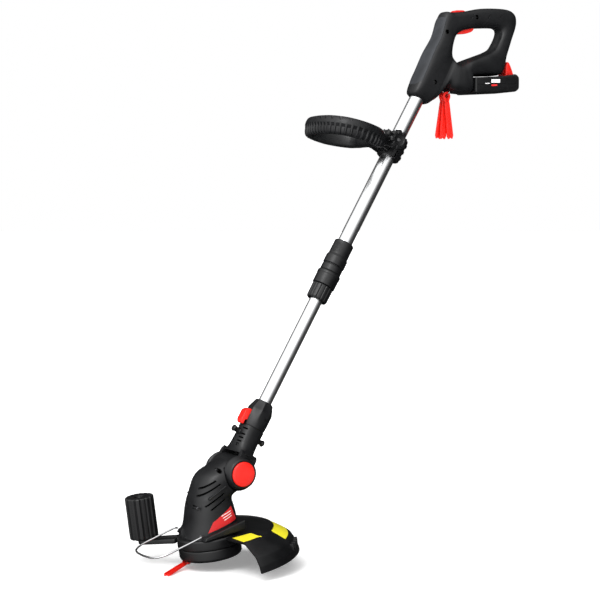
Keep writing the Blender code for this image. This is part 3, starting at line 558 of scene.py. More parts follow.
def second_handle():
    """Clamp, star knob and the loop handle."""
    low, high = CLAMP_CENTRE - CLAMP_HALF, CLAMP_CENTRE + CLAMP_HALF
    front = solid("clamp_front", slab(clamp_plan(-1.0), low, high, 1.6, "z"), SHAFT)
    nose = rounded([(-16.5, -23.5), (-16.5, 23.5), (-36.0, 23.5), (-36.0, -23.5)], 5.0)
    carve(front, [slab(anticlockwise(nose), low + 4.0, high - 4.0, 2.4, "z")], "UNION")
    ribs = [box((-34.0, y - 1.2, low + 1.5), (-18.0, y + 1.2, high - 1.5), 0.5) for y in (-14.0, 0.0, 14.0)]
    carve(front, ribs, "UNION")
    carve(front, [turned([(3.3, -60.0), (3.3, 60.0)], 32, BOLT_AT, "y"),
                  turned([(CLAMP_BORE, low - 5.0), (CLAMP_BORE, high + 5.0)], 96)])
    piece(front, BLACK, "aux_clamp", ["aux_clamp_front"])
    rear = solid("clamp_rear", slab(clamp_plan(1.0), low, high, 1.6, "z"), SHAFT)
    bands = []
    for z in (low + 9.0, CLAMP_CENTRE, high - 9.0):
        profile = [(24.0, z - 1.6), (24.0, z + 1.6), (21.4, z + 1.6), (21.4, z - 1.6)]
        bands.append(turned(profile, 96, hollow=True, soften=0.6))
    half = box((-0.5, -40.0, low - 2.0), (-60.0, 40.0, high + 2.0))
    carve(rear, bands, "UNION")
    carve(rear, [half, turned([(CLAMP_BORE, low - 5.0), (CLAMP_BORE, high + 5.0)], 96)])
    piece(rear, BLACK, "aux_clamp", ["aux_clamp_rear"])

    bolt = [(3.0, -52.0), (3.0, 38.2), (6.2, 38.2), (6.2, 41.0), (5.2, 42.0)]
    part("clamp_bolt", turned(bolt, 48, BOLT_AT, "y", soften=0.3), SHAFT, STEEL, "aux_clamp", "aux_bolt")
    knob = [(3.4, -38.6), (11.0, -38.6), (11.5, -42.0), (18.5, -43.5), (19.0, -46.0), (19.0, -52.5),
            (16.5, -55.5), (11.0, -56.0), (10.0, -54.6), (5.0, -53.6), (3.4, -53.6)]
    star = turned(knob, 192, BOLT_AT, "y", hollow=True, soften=1.0, flutes=8, flute_depth=4.6, sharpness=1.4)
    part("star_knob", star, SHAFT, BLACK, "aux_knob", "aux_knob")
    loop_handle()


def loop_handle():
    """Closed loop with a tall grip to the front: slots along its top edge and ribs below a step."""
    fall = SHAFT_LEAN - LOOP_RISE
    out = Vector((-math.cos(fall), 0.0, -math.sin(fall)))
    up = Vector((-math.sin(fall), 0.0, math.cos(fall)))
    below = BOLT_AT - up * 9.0
    points = [below + out * q + Vector((0.0, y, 0.0)) for q, y in LOOP_PLAN]
    points += [below + out * q + Vector((0.0, -y, 0.0)) for q, y in reversed(LOOP_PLAN)]
    path = spline(points, 24, closed=True)
    count = len(path)
    segments = 40
    rings = []
    for i, point in enumerate(path):
        along = (path[(i + 1) % count] - path[i - 1]).normalized()
        wide = along.cross(up).normalized()
        ends = min(1.0, max(0.0, (abs(i / count - 0.5) * 2.0 - 0.55) / 0.30))
        tall = GRIP_TALL - 5.0 * ends
        grip = 1.0 - min(1.0, ends * 4.0)
        rib = max(0.0, math.cos(2.0 * math.pi * i / 8.0)) ** 0.5
        ring = []
        for k in range(segments):
            angle = 2.0 * math.pi * (k + 0.5) / segments
            w = bulged(math.cos(angle), 0.7) * GRIP_HALF_WIDE
            h = bulged(math.sin(angle), 0.7) * tall
            if w > 0.0 and h < -0.5:
                dip = min(1.0, (-0.5 - h) / 1.2) * grip
                w -= dip * (4.0 - 2.6 * rib) * min(1.0, w / 5.0)
            ring.append(point + wide * w + up * h)
        rings.append(ring)
    handle = solid("loop_grip", loft(rings, closed=True), SHAFT)
    joins = []
    root = BOLT_AT + out * 38.0 - up * 7.0
    for side in (-1.0, 1.0):
        joins.append(turned([(13.0, side * 25.0), (13.0, side * 37.5)], 48, BOLT_AT, "y"))
        shift = Vector((0.0, side * 31.0, 0.0))
        joins.append(sweep([BOLT_AT + shift, root + shift], 6.0, 11.0, up, segments=24, power=6.0))
    carve(handle, joins, "UNION")
    cuts = [turned([(3.4, -60.0), (3.4, 60.0)], 32, BOLT_AT, "y")]
    for k in range(15):
        at = int(count * (0.5 + (k - 7) * 0.034))
        point, along = path[at], (path[at + 1] - path[at - 1]).normalized()
        wide = along.cross(up).normalized()
        middle = point + wide * 8.0 + up * 12.5
        turn = Matrix((wide, along, up)).transposed().to_4x4()
        cut = box((-3.4, -2.6, -3.4), (6.0, 2.6, 8.0), 0.8)
        place = Matrix.Translation(middle) @ turn @ Matrix.Rotation(0.45, 4, "X")
        bmesh.ops.transform(cut, matrix=place, verts=cut.verts)
        cuts.append(cut)
    carve(handle, cuts)
    piece(handle, CHARCOAL, "aux_handle", ["aux_handle_loop"])


# ---- rear handle
# Outer edge, inner edge and half width of the loop's sections, in order round the loop.
OUTER = [(391, 699), (408, 731), (426, 766), (446, 798), (457, 832), (465, 845), (476, 845), (490, 846),
         (517, 850), (546, 856), (590, 859), (618, 857), (631, 848), (633, 831), (622, 800), (609, 766),
         (603, 745), (594, 731), (560, 727), (518, 722), (517, 694), (500, 691), (476, 695), (462, 704),
         (440, 680), (429, 673), (417, 668), (389, 685)]
INNER = [(479, 770), (479, 778), (481, 787), (485, 797), (491, 804), (500, 809), (508, 812), (516, 814),
         (530, 817), (549, 819), (580, 821), (589, 820), (595, 816), (595, 807), (588, 793), (579, 781),
         (566, 774), (550, 768), (530, 761), (514, 755), (502, 750), (493, 747), (486, 749), (482, 753),
         (480, 759), (479, 762), (479, 764), (479, 767)]
HALF = [23.0, 23.0, 22.0, 20.0, 19.0, 18.5, 18.0, 18.0,
        17.5, 17.5, 17.5, 17.5, 17.5, 17.5, 17.5, 19.0,
        22.0, 26.0, 28.0, 30.0, 32.0, 32.0, 30.0, 27.0,
        24.0, 23.0, 23.0, 23.0]
LOCK_AT = (500.0, 848.0)
BATTERY_LOW = (519.0, -33.0, 690.5)
BATTERY_HIGH = (625.0, 33.0, 721.3)
HANDLE_SCREWS = ((461.0, -13.0, 806.0), (533.0, -13.0, 838.0), (431.0, -19.5, 709.0))
HANDLE_SCREW_LENGTH = (16.0, 16.0, 4.5)
CASE_WALL = 2.6
SECTION_POWER = 3.6
HOOK_AT = (469.0, 687.0)
SPARE_THICK = 3.6
FINER = 5                    # steps between two stations of the loop


def section(outer, inner, half, side, inset, angle):
    """A point of the clamshell's section; the angle runs from the outer to the inner edge."""
    across = inner - outer
    unit = across.normalized()
    reach = across.length / 2.0
    c = bulged(math.cos(angle), 2.0 / SECTION_POWER)
    s = max(0.0, math.sin(angle)) ** (2.0 / SECTION_POWER)
    wide = max(0.0, half - inset - GAP / 2.0) * s + GAP / 2.0
    return outer + unit * (reach - (reach - inset) * c) + Vector((0.0, side * wide, 0.0))


def handle_sections():
    """The loop's stations as smooth closed curves."""
    outer = spline([(x, 0.0, z) for x, z in OUTER], FINER, closed=True)
    inner = spline([(x, 0.0, z) for x, z in INNER], FINER, closed=True)
    half = [p.x for p in spline([(h, 0.0, 0.0) for h in HALF], FINER, closed=True)]
    return outer, inner, half


def handle_shell(name, side, node):
    """One clamshell half with its socket, slots, screw wells and grip recesses."""
    steps = 16
    rings = []
    for outer, inner, half in zip(*handle_sections()):
        ring = []
        for inset, order in ((0.0, range(steps + 1)), (CASE_WALL, range(steps, -1, -1))):
            for k in order:
                ring.append(section(outer, inner, half, side, inset, math.pi * k / steps))
        rings.append(ring)
    body = solid(name, loft(rings, closed=True), BODY)
    lean = Matrix.Rotation(SHAFT_LEAN, 4, "Y")
    socket = turned([(UPPER_TUBE_R + 0.15, 770.0), (UPPER_TUBE_R + 0.15, 906.0)], 64)
    bmesh.ops.transform(socket, matrix=lean, verts=socket.verts)
    cuts = [socket, box((485.0, -6.4, 795.0), (541.0, 6.4, 824.0)),
            box((LOCK_AT[0] - 14.6, -7.4, 834.0), (LOCK_AT[0] + 14.6, 7.4, 862.0))]
    for x, _, z in HANDLE_SCREWS:
        cuts.append(turned([(4.3, side * 40.0), (4.3, side * 6.0)], 32, (x, 0.0, z), "y"))
    for x in (521.0, 559.0, 586.0):
        lens = rounded([(-1.8, -10.0), (1.8, -2.0), (1.8, 10.0), (-1.8, 2.0)], 2.5)
        lens = [(p.x + x + 0.55 * p.y, p.y + 837.0) for p in lens]
        cuts.append(slab(lens, *between(side, 16.0, 19.0), 0.1))
    carve(body, cuts)
    return piece(body, CHARCOAL, "handle", [node])


def sleeve_grip():
    """Textured band over the front face of the tube sleeve."""
    outer, inner, half = handle_sections()
    last = 4 * FINER + 2
    across = 22
    spread = 0.29 * math.pi
    rows = []
    for lift in (0.7, -0.6):
        layer = []
        for i in range(1, last):
            fade = min(1.0, min(i - 1, last - 1 - i) / 1.5)
            row = []
            for k in range(across + 1):
                angle = spread * (2.0 * k / across - 1.0)
                side = 1.0 if angle >= 0.0 else -1.0
                edge = min(1.0, (1.0 - abs(2.0 * k / across - 1.0)) / 0.12)
                raised = lift * min(fade, edge) if lift > 0.0 else lift
                row.append(section(outer[i], inner[i], half[i] + raised, side, -raised, abs(angle)))
            layer.append(row)
        rows.append(layer)
    rings = [top + under[::-1] for top, under in zip(*rows)]
    part("sleeve_grip", loft(rings), BODY, RUBBER, "handle")


def rear_handle():
    """Clamshells, sleeve band, trigger, lock-off button and screws."""
    handle_shell("handle_left", -1.0, "handle_shell_left")
    handle_shell("handle_right", 1.0, "handle_shell_right")
    sleeve_grip()

    lever = [(490.0, 822.0), (487.5, 814.0), (489.0, 806.5), (497.0, 804.5), (516.0, 806.5), (531.0, 811.5),
             (537.0, 822.0)]
    part("trigger_lever", slab(rounded(lever, 4.0, 5), -6.0, 6.0, 1.8), BODY, RED, "trigger", "trigger")
    x, z = LOCK_AT
    key = [(x - 14.0, 841.0), (x + 14.0, 841.0), (x + 14.0, 848.5), (x + 8.0, 850.8), (x - 9.0, 849.8),
           (x - 14.0, 847.2)]
    body = solid("lock_off_key", slab(rounded(key, 2.0), -7.0, 7.0, 1.2), BODY)
    ribs = [box((x - 7.5 + 3.6 * k, -5.0, 849.2), (x - 6.5 + 3.6 * k, 5.0, 854.5)) for k in range(4)]
    carve(body, ribs)
    piece(body, RED, "lock_off", ["lock_off_button"])
    for i, at in enumerate(HANDLE_SCREWS):
        name = "handle_screw_%d" % (i + 1)
        screw("screw_handle_%d" % (i + 1), at, BODY, "handle", name, length=HANDLE_SCREW_LENGTH[i])


def battery():
    """The slide-on pack with its side panels, seam, label and release button."""
    (x0, y0, z0), (x1, y1, z1) = BATTERY_LOW, BATTERY_HIGH
    side = [(x0, z0), (x1 - 8.0, z0 + 7.0), (x1, z0 + 13.0), (x1, z1 + 5.0), (x1 - 8.0, z1 + 11.0),
            (x1 - 19.5, z1 + 8.4), (x0 + 60.0, z1 + 4.8), (x0 + 8.0, z1 + 0.8), (x0, z1 + 0.8)]
    case = solid("battery_shell", slab(rounded(side, 6.0, 6), y0, y1, 3.0, steps=5), BODY)
    groove = [(x0 + 2.0, z0 + 17.0), (x1 + 3.0, z0 + 23.0), (x1 + 3.0, z0 + 23.9), (x0 + 2.0, z0 + 17.9)]
    cuts = [box((x0 + 3.0, y0 + 4.0, z0 + 9.5), (x1 - 6.0, y1 - 4.0, z1 - 4.0)),
            box((x0 - 2.0, -12.0, z0 + 12.0), (x0 + 4.0, 12.0, z0 + 20.0)),
            box((x1 - 22.0, -13.4, z1 - 4.6), (x1 + 2.0, 13.4, z1 + 16.0)),
            slab(groove, y0 - 2.0, y0 + 0.7, 0.05),
            box((x0 + 12.0, y0 - 2.0, z0 - 3.0), (x0 + 12.9, y1 + 2.0, z0 + 2.2))]
    carve(case, cuts)
    piece(case, BLACK, "battery", ["battery_case"])
    key = [(x1 - 18.4, z1 - 1.0), (x1 - 1.0, z1 - 1.0), (x1 + 1.5, z1 + 11.0), (x1 - 5.0, z1 + 26.0),
           (x1 - 10.0, z1 + 34.5), (x1 - 15.0, z1 + 35.5), (x1 - 17.4, z1 + 28.0)]
    body = solid("release_key", slab(rounded(key, 3.5), -13.0, 13.0, 2.6, steps=5), BODY)
    ribs = []
    for k in range(5):
        level = z1 + 6.0 + 3.4 * k
        ribs.append(box((x1 - 8.0, -8.0, level), (x1 + 3.0, 8.0, z1 + 7.0 + 3.4 * k)))
    carve(body, ribs)
    piece(body, RED, "battery_release", ["battery_release_button"])

    def towards(flat):
        return Vector((flat.x, -60.0, flat.y)), Vector((0.0, 1.0, 0.0))

    for name, low, high, look in (("label_strip_a", (556.0, 712.5), (577.0, 719.0), WHITE_PRINT),
                                  ("label_strip_b", (556.0, 706.0), (570.0, 709.0), RED_PRINT),
                                  ("label_strip_c", (541.0, 709.5), (552.0, 711.0), WHITE_PRINT)):
        corners = [(low[0], low[1]), (high[0], low[1] + 1.0), (high[0], high[1] + 1.0), (low[0], high[1])]
        sheet_on(name, case, corners, towards, look, "battery", 0.12, 0.2, 6)


def blade_outline(length, width):
    """Keyhole-headed blade in XY: round head at the origin and a forked tip towards -X."""
    r = width / 2.0
    turns = [math.radians(degrees) for degrees in range(-132, 133, 8)]
    head = [(r * math.cos(turn), r * math.sin(turn)) for turn in turns]
    tail = [(-r * 1.15, r * 0.55), (-r * 1.6, r * 0.62), (-length + 6.0, r * 0.80), (-length, r * 0.48)]
    tail += [(-length + 3.0, 0.0)] + [(x, -y) for x, y in reversed(tail)]
    return [Vector(p) for p in head] + rounded(tail, 1.2, 3, closed=False)


def blade(name, length, width, thick, bore, place, where):
    """A plastic blade with a groove down each face and a keyhole eye, put at its place in a frame."""
    obj = solid(name, slab(blade_outline(length, width), -thick, 0.0, 0.4, "z"), Matrix.Identity(4))
    grooves = []
    for low, high in ((-thick - 1.0, -thick + 0.9), (-0.9, 1.0)):
        plan = [(-length - 2.0, -width * 0.13), (-width * 0.95, -width * 0.09), (-width * 0.95, width * 0.09),
                (-length - 2.0, width * 0.13)]
        grooves.append(slab(plan, low, high, 0.05, "z"))
    key = [(-width * 0.62, -0.9), (0.0, -0.9), (0.0, 0.9), (-width * 0.62, 0.9)]
    eye = turned([(bore, -thick - 2.0), (bore, 2.0)], 40)
    carve(obj, grooves + [eye, slab(key, -thick - 1.0, 1.0, 0.05, "z")])
    obj.data.transform(Matrix.Scale(MM, 4) @ place @ Matrix.Scale(1.0 / MM, 4))
    obj.matrix_world = where
    return obj


def spare_blades():
    """Three spare blades on a steel hook under the handle."""
    x, z = HOOK_AT
    bends = [(3.0, 9.0, 9.6), (2.0, 12.5, 6.5), (0.7, 12.5, 3.0), (0.0, 6.0, 0.0)]
    wire = [(x + dx, -y, z + dz) for dx, y, dz in bends]
    wire += [(x + dx, y, z + dz) for dx, y, dz in reversed(bends)]
    hook = sweep(spline(wire, 10), 1.1, 1.1, Vector((1.0, 0.0, 0.1)), segments=16)
    part("hook_wire", hook, BODY, STEEL, "handle", "blade_hook")
    upright = Matrix.Rotation(math.radians(90.0), 4, "X")
    centred = Matrix.Translation(Vector((0.0, 0.0, SPARE_THICK / 2.0)))
    for i, (y, swing) in enumerate(((-5.2, -7.0), (0.0, 3.0), (5.2, 8.0))):
        stand = Matrix.Rotation(math.radians(swing - 90.0), 4, "Y") @ upright
        place = Matrix.Translation(Vector((x, y, z - 2.2))) @ stand @ centred
        obj = blade("hung_blade_%d" % (i + 1), 82.0, 17.5, SPARE_THICK, 3.9, place, BODY)
        piece(obj, RED, "spare_%d" % (i + 1), ["spare_blade_%d" % (i + 1)])


# ---- rotation collar and neck
# Height, radius and how strongly the ring is cut to eight flats.
COLLAR_RINGS = ((COLLAR[0], 21.0, 0.0), (COLLAR[0] + 1.0, 22.2, 0.1), (COLLAR[0] + 6.0, 23.2, 0.2),
                (COLLAR[0] + 14.0, 23.5, 0.4), (COLLAR[1] - 19.0, 23.5, 0.7), (COLLAR[1] - 17.5, 23.2, 1.0),
                (COLLAR[1] - 2.0, 17.4, 1.0), (COLLAR[1] - 0.8, 16.9, 0.9), (COLLAR[1], 16.0, 0.8))


def collar_half(name, side, node):
    """One half of the collar, with a faceted cone above."""
    low = COLLAR[0]
    bore = LOWER_TUBE_R + 0.2
    steps = 32
    eighth = math.pi / 8.0
    rings = []
    for z, reach, facet in COLLAR_RINGS:
        ring = []
        for radius, order in ((reach, range(steps + 1)), (bore, range(steps, -1, -1))):
            for k in order:
                angle = math.pi * k / steps
                flat = (angle + eighth) % (math.pi / 4.0) - eighth
                cut = 1.0
                if radius != bore:
                    cut -= facet * (1.0 - math.cos(eighth) / math.cos(flat)) * 1.3
                across = side * (radius * cut * math.sin(angle) + GAP / 2)
                ring.append(Vector((radius * cut * math.cos(angle), across, z)))
        rings.append(ring)
    body = solid(name, loft(rings), SHAFT)
    cuts = [box((-30.0, -9.0, low - 1.0), (-20.0, 9.0, 121.0))]
    cuts.append(turned([(3.4, side * 30.0), (3.4, side * 18.5)], 32, (6.0, 0.0, 106.0), "y"))
    carve(body, cuts)
    return piece(body, CHARCOAL, "lower_shaft", [node])


# Height above the pivot, half depth and half width.
NECK_LEVELS = ((33.0, 17.0, 44.0), (38.0, 18.0, 35.0), (43.0, 19.0, 29.0), (50.0, 20.0, 25.0),
               (62.0, 20.5, 23.0), (75.0, 21.0, 22.0), (COLLAR[0] - GAP, 21.5, 21.5))


def neck_half(name, side, node):
    """One half of the neck: a tapering tube above and a cheek with a round boss below."""
    levels = [(z, 0.0, back, half) for z, back, half in spline(NECK_LEVELS, 5)]
    body = solid(name, half_case(levels, 8.0, 24, side), SHAFT)
    boss = [(BOSS_R - 3.0, side * 30.2), (BOSS_R, side * 32.5), (BOSS_R - 1.0, side * 36.0),
            (BOSS_R - 5.5, side * (BOSS_FACE - 1.5)), (BOSS_R - 7.5, side * BOSS_FACE)]
    cheek = []
    for z, out in ((2.0, 41.0), (33.0, 39.0), (39.0, 34.0)):
        corners = ((-17.0, 30.3), (17.0, 30.3), (17.0, out), (-17.0, out))
        cheek.append([Vector((x, side * y, z)) for x, y in corners])
    carve(body, [turned(boss, 96, axis="y", soften=1.2), loft(cheek)], "UNION")
    cuts = [turned([(BUTTON_R + 0.6, side * 38.0), (BUTTON_R + 0.6, side * 60.0)], 96, axis="y"),
            turned([(6.4, side * 20.0), (6.4, side * 60.0)], 48, axis="y")]
    low, high = between(side, 6.0, 17.5)
    for z in (51.5, 58.5, 65.5, 76.5):
        cuts.append(box((-26.0, low, z), (-12.0, high, z + 3.0), 0.8))
    low, high = between(side, 7.0, 15.0)
    cuts.append(box((-23.0, low, 43.5), (-15.5, high, 49.0), 0.8))
    carve(body, cuts)
    return piece(body, CHARCOAL, "neck", [node])


def neck():
    """Collar, rotation slider, neck, blade pegs and the tilt buttons."""
    collar_half("collar_left", -1.0, "collar_shell_left")
    collar_half("collar_right", 1.0, "collar_shell_right")
    slide = [(-20.6, 93.0), (-20.6, 114.0), (-26.0, 114.0), (-32.0, 108.0), (-32.0, 89.0), (-28.5, 83.5),
             (-24.3, 83.5), (-24.3, 93.0)]
    slider = solid("slider_key", slab(rounded(slide, 1.8), -8.5, 8.5, 1.0), SHAFT)
    ribs = [box((-34.0, -6.0, 92.0 + 3.4 * k), (-31.2, 6.0, 93.1 + 3.4 * k)) for k in range(5)]
    carve(slider, ribs)
    piece(slider, RED, "rotation_slider", ["rotation_slider"])
    neck_half("neck_left", -1.0, "neck_shell_left")
    neck_half("neck_right", 1.0, "neck_shell_right")
    for name, x, z, facing in (("blade_peg_front", -20.8, 70.0, -1.0), ("blade_peg_rear", 20.9, 71.0, 1.0)):
        peg = [(6.0, 0.6), (5.0, 2.2), (4.6, 9.0), (6.0, 11.5), (6.0, 13.5), (4.4, 15.0)]
        peg = [(radius, facing * length) for radius, length in peg]
        part("store_" + name[6:], turned(peg, 48, (x, 0.0, z), "x", soften=0.8), SHAFT, BLACK, "neck", name)
    for side, label in ((-1.0, "left"), (1.0, "right")):
        cap = [(9.8, 47.8), (9.8, 43.4), (BUTTON_R, 43.4), (BUTTON_R, 48.6)]
        turns = [0.12 * k for k in range(1, 13)]
        cap += [(BUTTON_R * math.cos(turn) ** 0.9, 49.2 + 3.6 * math.sin(turn)) for turn in turns]
        cap = [(radius, side * out) for radius, out in cap]
        button = solid("tilt_key_" + label, turned(cap, 96, axis="y"), SHAFT)
        piece(button, RED, "tilt_button_" + label, ["tilt_button_" + label], sharp=40.0)


# ---- motor head
# Height, distances of the rear and front faces ahead of the pivot, and half width.
HOUSING = [(HOUSING_BOTTOM, 12.0, 107.0, 47.0), (-88.0, 10.5, 102.0, 47.0), (-74.0, 10.0, 97.0, 46.0),
           (-56.0, 12.0, 92.5, 44.0), (-44.0, 14.0, 89.0, 42.0), (-37.0, 12.0, 86.5, 41.0),
           (-33.0, 6.0, 85.0, 41.0), (-26.0, -13.0, 82.0, 41.0), (-15.0, -25.0, 77.0, 41.0),
           (-4.0, -29.0, 71.0, 41.0), (6.0, -29.0, 62.0, 38.5), (13.0, -26.5, 49.0, 34.0),
           (20.0, -21.5, 32.0, 29.0), (26.0, -14.0, 14.0, 22.0)]
HOUSING_SCREWS = ((-38.0, 12.0), (-90.0, -44.0))
HOUSING_WALL = 3.0
# Each vent's distance ahead of the pivot, height and length; all lean by the same angle.
VENTS = ((66.0, -9.5, 36.0), (63.0, -18.0, 44.0), (58.0, -35.0, 42.0), (54.0, -44.0, 34.0))
VENT_TURN = math.radians(24.0)
FIN_AT = (-52.0, 0.0, -23.0)


def housing_half(name, side, node):
    """One half of the motor housing with vents, screw wells and the ridge between the vents."""
    levels = []
    for z, rear, front, half in spline(HOUSING, 4):
        levels.append((z, -(rear + front) / 2.0, (front - rear) / 2.0, half))
    body = solid(name, half_case(levels, HOUSING_WALL, 30, side), HEAD)
    ledge = rounded([(-96.0, -100.4), (-12.0, -96.0), (-11.0, -79.0), (-92.0, -94.0)], 3.0)
    fin = slab(oblong(20.0, 1.6, 1.4), *between(side, 36.0, 43.6), 0.9)
    bmesh.ops.translate(fin, vec=FIN_AT, verts=fin.verts)
    knuckle = turned([(29.4, side * 0.15), (29.4, side * 29.2)], 96, axis="y")
    part(name + "_ledge", slab(ledge, *between(side, 38.0, 55.5), 1.6), HEAD, CHARCOAL, "head")
    carve(body, [knuckle, tilted(fin, -VENT_TURN, "Y", FIN_AT)], "UNION")
    cuts = [turned([(6.3, side * -2.0), (6.3, side * 60.0)], 48, axis="y"),
            turned([(BOSS_R + 0.5, side * 29.6), (BOSS_R + 0.5, side * 60.0)], 96, axis="y")]
    x, z = WIRE_PIVOT
    cuts.append(turned([(WIRE_R + 0.5, side * 36.0), (WIRE_R + 0.5, side * 60.0)], 32, (x, 0.0, z), "y"))
    for x, z in HOUSING_SCREWS:
        cuts.append(turned([(4.2, side * 60.0), (4.2, side * 10.0)], 40, (x, 0.0, z), "y"))
    for ahead, z, length in VENTS:
        slot = slab(oblong(length / 2, 1.5, 1.3), *between(side, 14.0, 50.0), 0.05)
        bmesh.ops.translate(slot, vec=(-ahead, 0.0, z), verts=slot.verts)
        cuts.append(tilted(slot, -VENT_TURN, "Y", (-ahead, 0.0, z)))
    carve(body, cuts)
    return piece(body, CHARCOAL, "head", [node])


def guard():
    """The stepped, down-turned shield with its raised rim, corner ribs and screws."""
    outer = [(52.0, GUARD_TOP), (110.5, GUARD_TOP), (112.0, -100.6), (116.5, -100.8), (119.0, -103.4),
             (143.0, -119.5), (148.0, -123.5), (155.5, -138.0), (GUARD_R, GUARD_BOTTOM)]
    inner = [(GUARD_R - GUARD_WALL, GUARD_BOTTOM), (152.5, -138.0), (145.0, -124.8), (141.0, -121.4),
             (116.0, -105.2), (112.0, -105.0), (52.0, -105.0)]
    profile = rounded(outer, 1.6, 3, closed=False) + rounded(inner, 1.2, 2, closed=False)
    rings = []
    arc = 90
    for k in range(arc + 1):
        angle = math.radians(-85.0 + 170.0 * k / arc)
        c, s = math.cos(angle), math.sin(angle)
        rings.append([Vector((SPINDLE_X + p.x * c, p.x * s, p.y)) for p in profile])
    body = solid("guard_shield", loft(rings), HEAD)
    collar = [(GUARD_COLLAR_R, -118.0), (GUARD_COLLAR_R, -103.0), (55.0, GUARD_TOP + 1.4),
              (22.0, GUARD_TOP + 1.4), (22.0, -118.0)]
    parts = [turned(collar, 120, (SPINDLE_X, 0.0, 0.0), hollow=True, soften=1.0)]
    for side in (-1.0, 1.0):
        for k in range(5):
            rib = box((SPINDLE_X + 146.5, -1.0, -141.0), (SPINDLE_X + 156.2, 1.0, -127.0), 0.6)
            parts.append(tilted(rib, math.radians(side * (30.0 + 4.4 * k)), "Z", (SPINDLE_X, 0.0, 0.0)))
    carve(body, parts, "UNION")
    cuts = []
    for i, angle in enumerate((90.0, 270.0)):
        x = SPINDLE_X + 33.0 * math.cos(math.radians(angle))
        y = 33.0 * math.sin(math.radians(angle))
        cuts.append(turned([(1.9, -130.0), (1.9, -90.0)], 24, (x, y, 0.0)))
        cuts.append(turned([(4.0, -125.0), (4.0, -113.0)], 32, (x, y, 0.0)))
        name = "guard_screw_%d" % (i + 1)
        screw("screw_guard_%d" % (i + 1), (x, y, -116.0), HEAD, "head", name, axis="z", length=24.0)
    carve(body, cuts)
    return piece(body, BLACK, "head", ["guard"])


def edge_wheel():
    """Edging wheel on its arm beside the head."""
    x, y = WHEEL_AT
    heading = Vector((x - SPINDLE_X, y, 0.0)).normalized()
    side = Vector((-heading.y, heading.x, 0.0))
    start = Vector((SPINDLE_X, 0.0, 0.0)) + heading * (GUARD_COLLAR_R + 2.0 * GAP)
    end = Vector((x, y, 0.0))
    plan = [start - side * 16.0, end - side * 13.0, end + heading * 9.0 - side * 9.0,
            end + heading * 13.0, end + heading * 9.0 + side * 9.0, end + side * 13.0, start + side * 16.0]
    outline = rounded([(p.x, p.y) for p in plan], 5.0)
    arm = solid("wheel_bracket", slab(outline, -113.0, -104.5, 1.6, "z"), HEAD)
    rib = [start - side * 2.0, end - side * 2.0, end + side * 2.0, start + side * 2.0]
    carve(arm, [slab([(p.x, p.y) for p in rib], -105.5, -102.6, 0.3, "z")], "UNION")
    piece(arm, BLACK, "head", ["wheel_arm"])
    bolt = [(6.2, -31.0), (6.2, -29.2), (5.2, -28.6), (3.0, -28.6), (3.0, -104.2)]
    part("wheel_pin", turned(bolt, 48, (x, y, 0.0), soften=0.2), HEAD, DARK_STEEL_AND_SHADE, "head", "wheel_axle")
    wheel = [(WHEEL_R - 1.2, -102.0), (WHEEL_R, -100.0), (WHEEL_R, -28.0), (WHEEL_R - 1.2, -26.2),
             (WHEEL_R - 4.0, -26.0), (WHEEL_R - 4.6, -26.8), (10.0, -26.8), (8.6, -27.4), (8.0, -35.0),
             (3.4, -35.0), (3.4, -102.0)]
    roller = turned(wheel, 208, (x, y, 0.0), hollow=True, soften=0.6, flutes=16, flute_depth=2.2,
                    sharpness=2.2)
    part("wheel_roller", roller, HEAD, BLACK, "edge_wheel", "edge_wheel")


def wire_guard():
    """The bent steel wire in front of the head; the eyes it turns in are cut in the housing halves."""
    px, pz = WIRE_PIVOT
    drop = math.radians(11.5)
    ahead = Vector((-math.cos(drop), 0.0, -math.sin(drop)))
    origin = Vector((px, 0.0, pz))
    plan = [(0.0, 45.5), (0.0, 49.0), (3.0, 52.0), (44.0, 52.0), (74.5, 50.0), (88.5, 40.0), (94.3, 20.0)]
    points = [origin + ahead * q + Vector((0.0, -y, 0.0)) for q, y in plan]
    points += [origin + ahead * q + Vector((0.0, y, 0.0)) for q, y in reversed(plan)]
    bar = sweep(spline(points, 14), WIRE_R, WIRE_R, Vector((0.1, 0.0, 1.0)), segments=24)
    part("wire_loop", bar, HEAD, STEEL, "wire_guard", "wire_guard")


# Panels by their corners: ahead of the pivot and up, ahead and sideways, degrees and radius.
SIDE_PANEL = ((70.0, -72.0), (82.0, -89.0), (21.0, -77.0), (29.0, -52.0))
NEAR_PANEL = ((10.0, -66.0), (10.0, -106.0), (47.0, -106.0), (47.0, -66.0))
REAR_PANEL = ((-46.0, 117.5), (-46.0, 141.0), (34.0, 141.0), (34.0, 117.5))


def labels(housing, shield):
    """Plain printed panels on the housing and the guard."""
    def from_left(flat):
        return Vector((-flat.x, -90.0, flat.y)), Vector((0.0, 1.0, 0.0))

    def from_above(flat):
        return Vector((-flat.x, flat.y, -60.0)), Vector((0.0, 0.0, -1.0))

    def round_spindle(flat):
        angle = math.radians(flat.x)
        return (Vector((SPINDLE_X + flat.y * math.cos(angle), flat.y * math.sin(angle), -60.0)),
                Vector((0.0, 0.0, -1.0)))

    sheet_on("label_side", housing, SIDE_PANEL, from_left, RED_LABEL, "head")
    for k in range(3):
        low = -58.5 - 4.2 * k
        strip = [(52.0 - 2.0 * k, low - 5.4), (52.5 - 2.0 * k, low - 6.6), (32.0, low - 1.6),
                 (31.5, low - 0.4)]
        name = "label_side_strip_%d" % (k + 1)
        sheet_on(name, housing, strip, from_left, WHITE_PRINT, "head", 0.45, 0.3, 8)
    sheet_on("label_guard_side", shield, NEAR_PANEL, from_above, YELLOW_LABEL, "head")
    sheet_on("label_guard_rear", shield, REAR_PANEL, round_spindle, YELLOW_LABEL, "head")


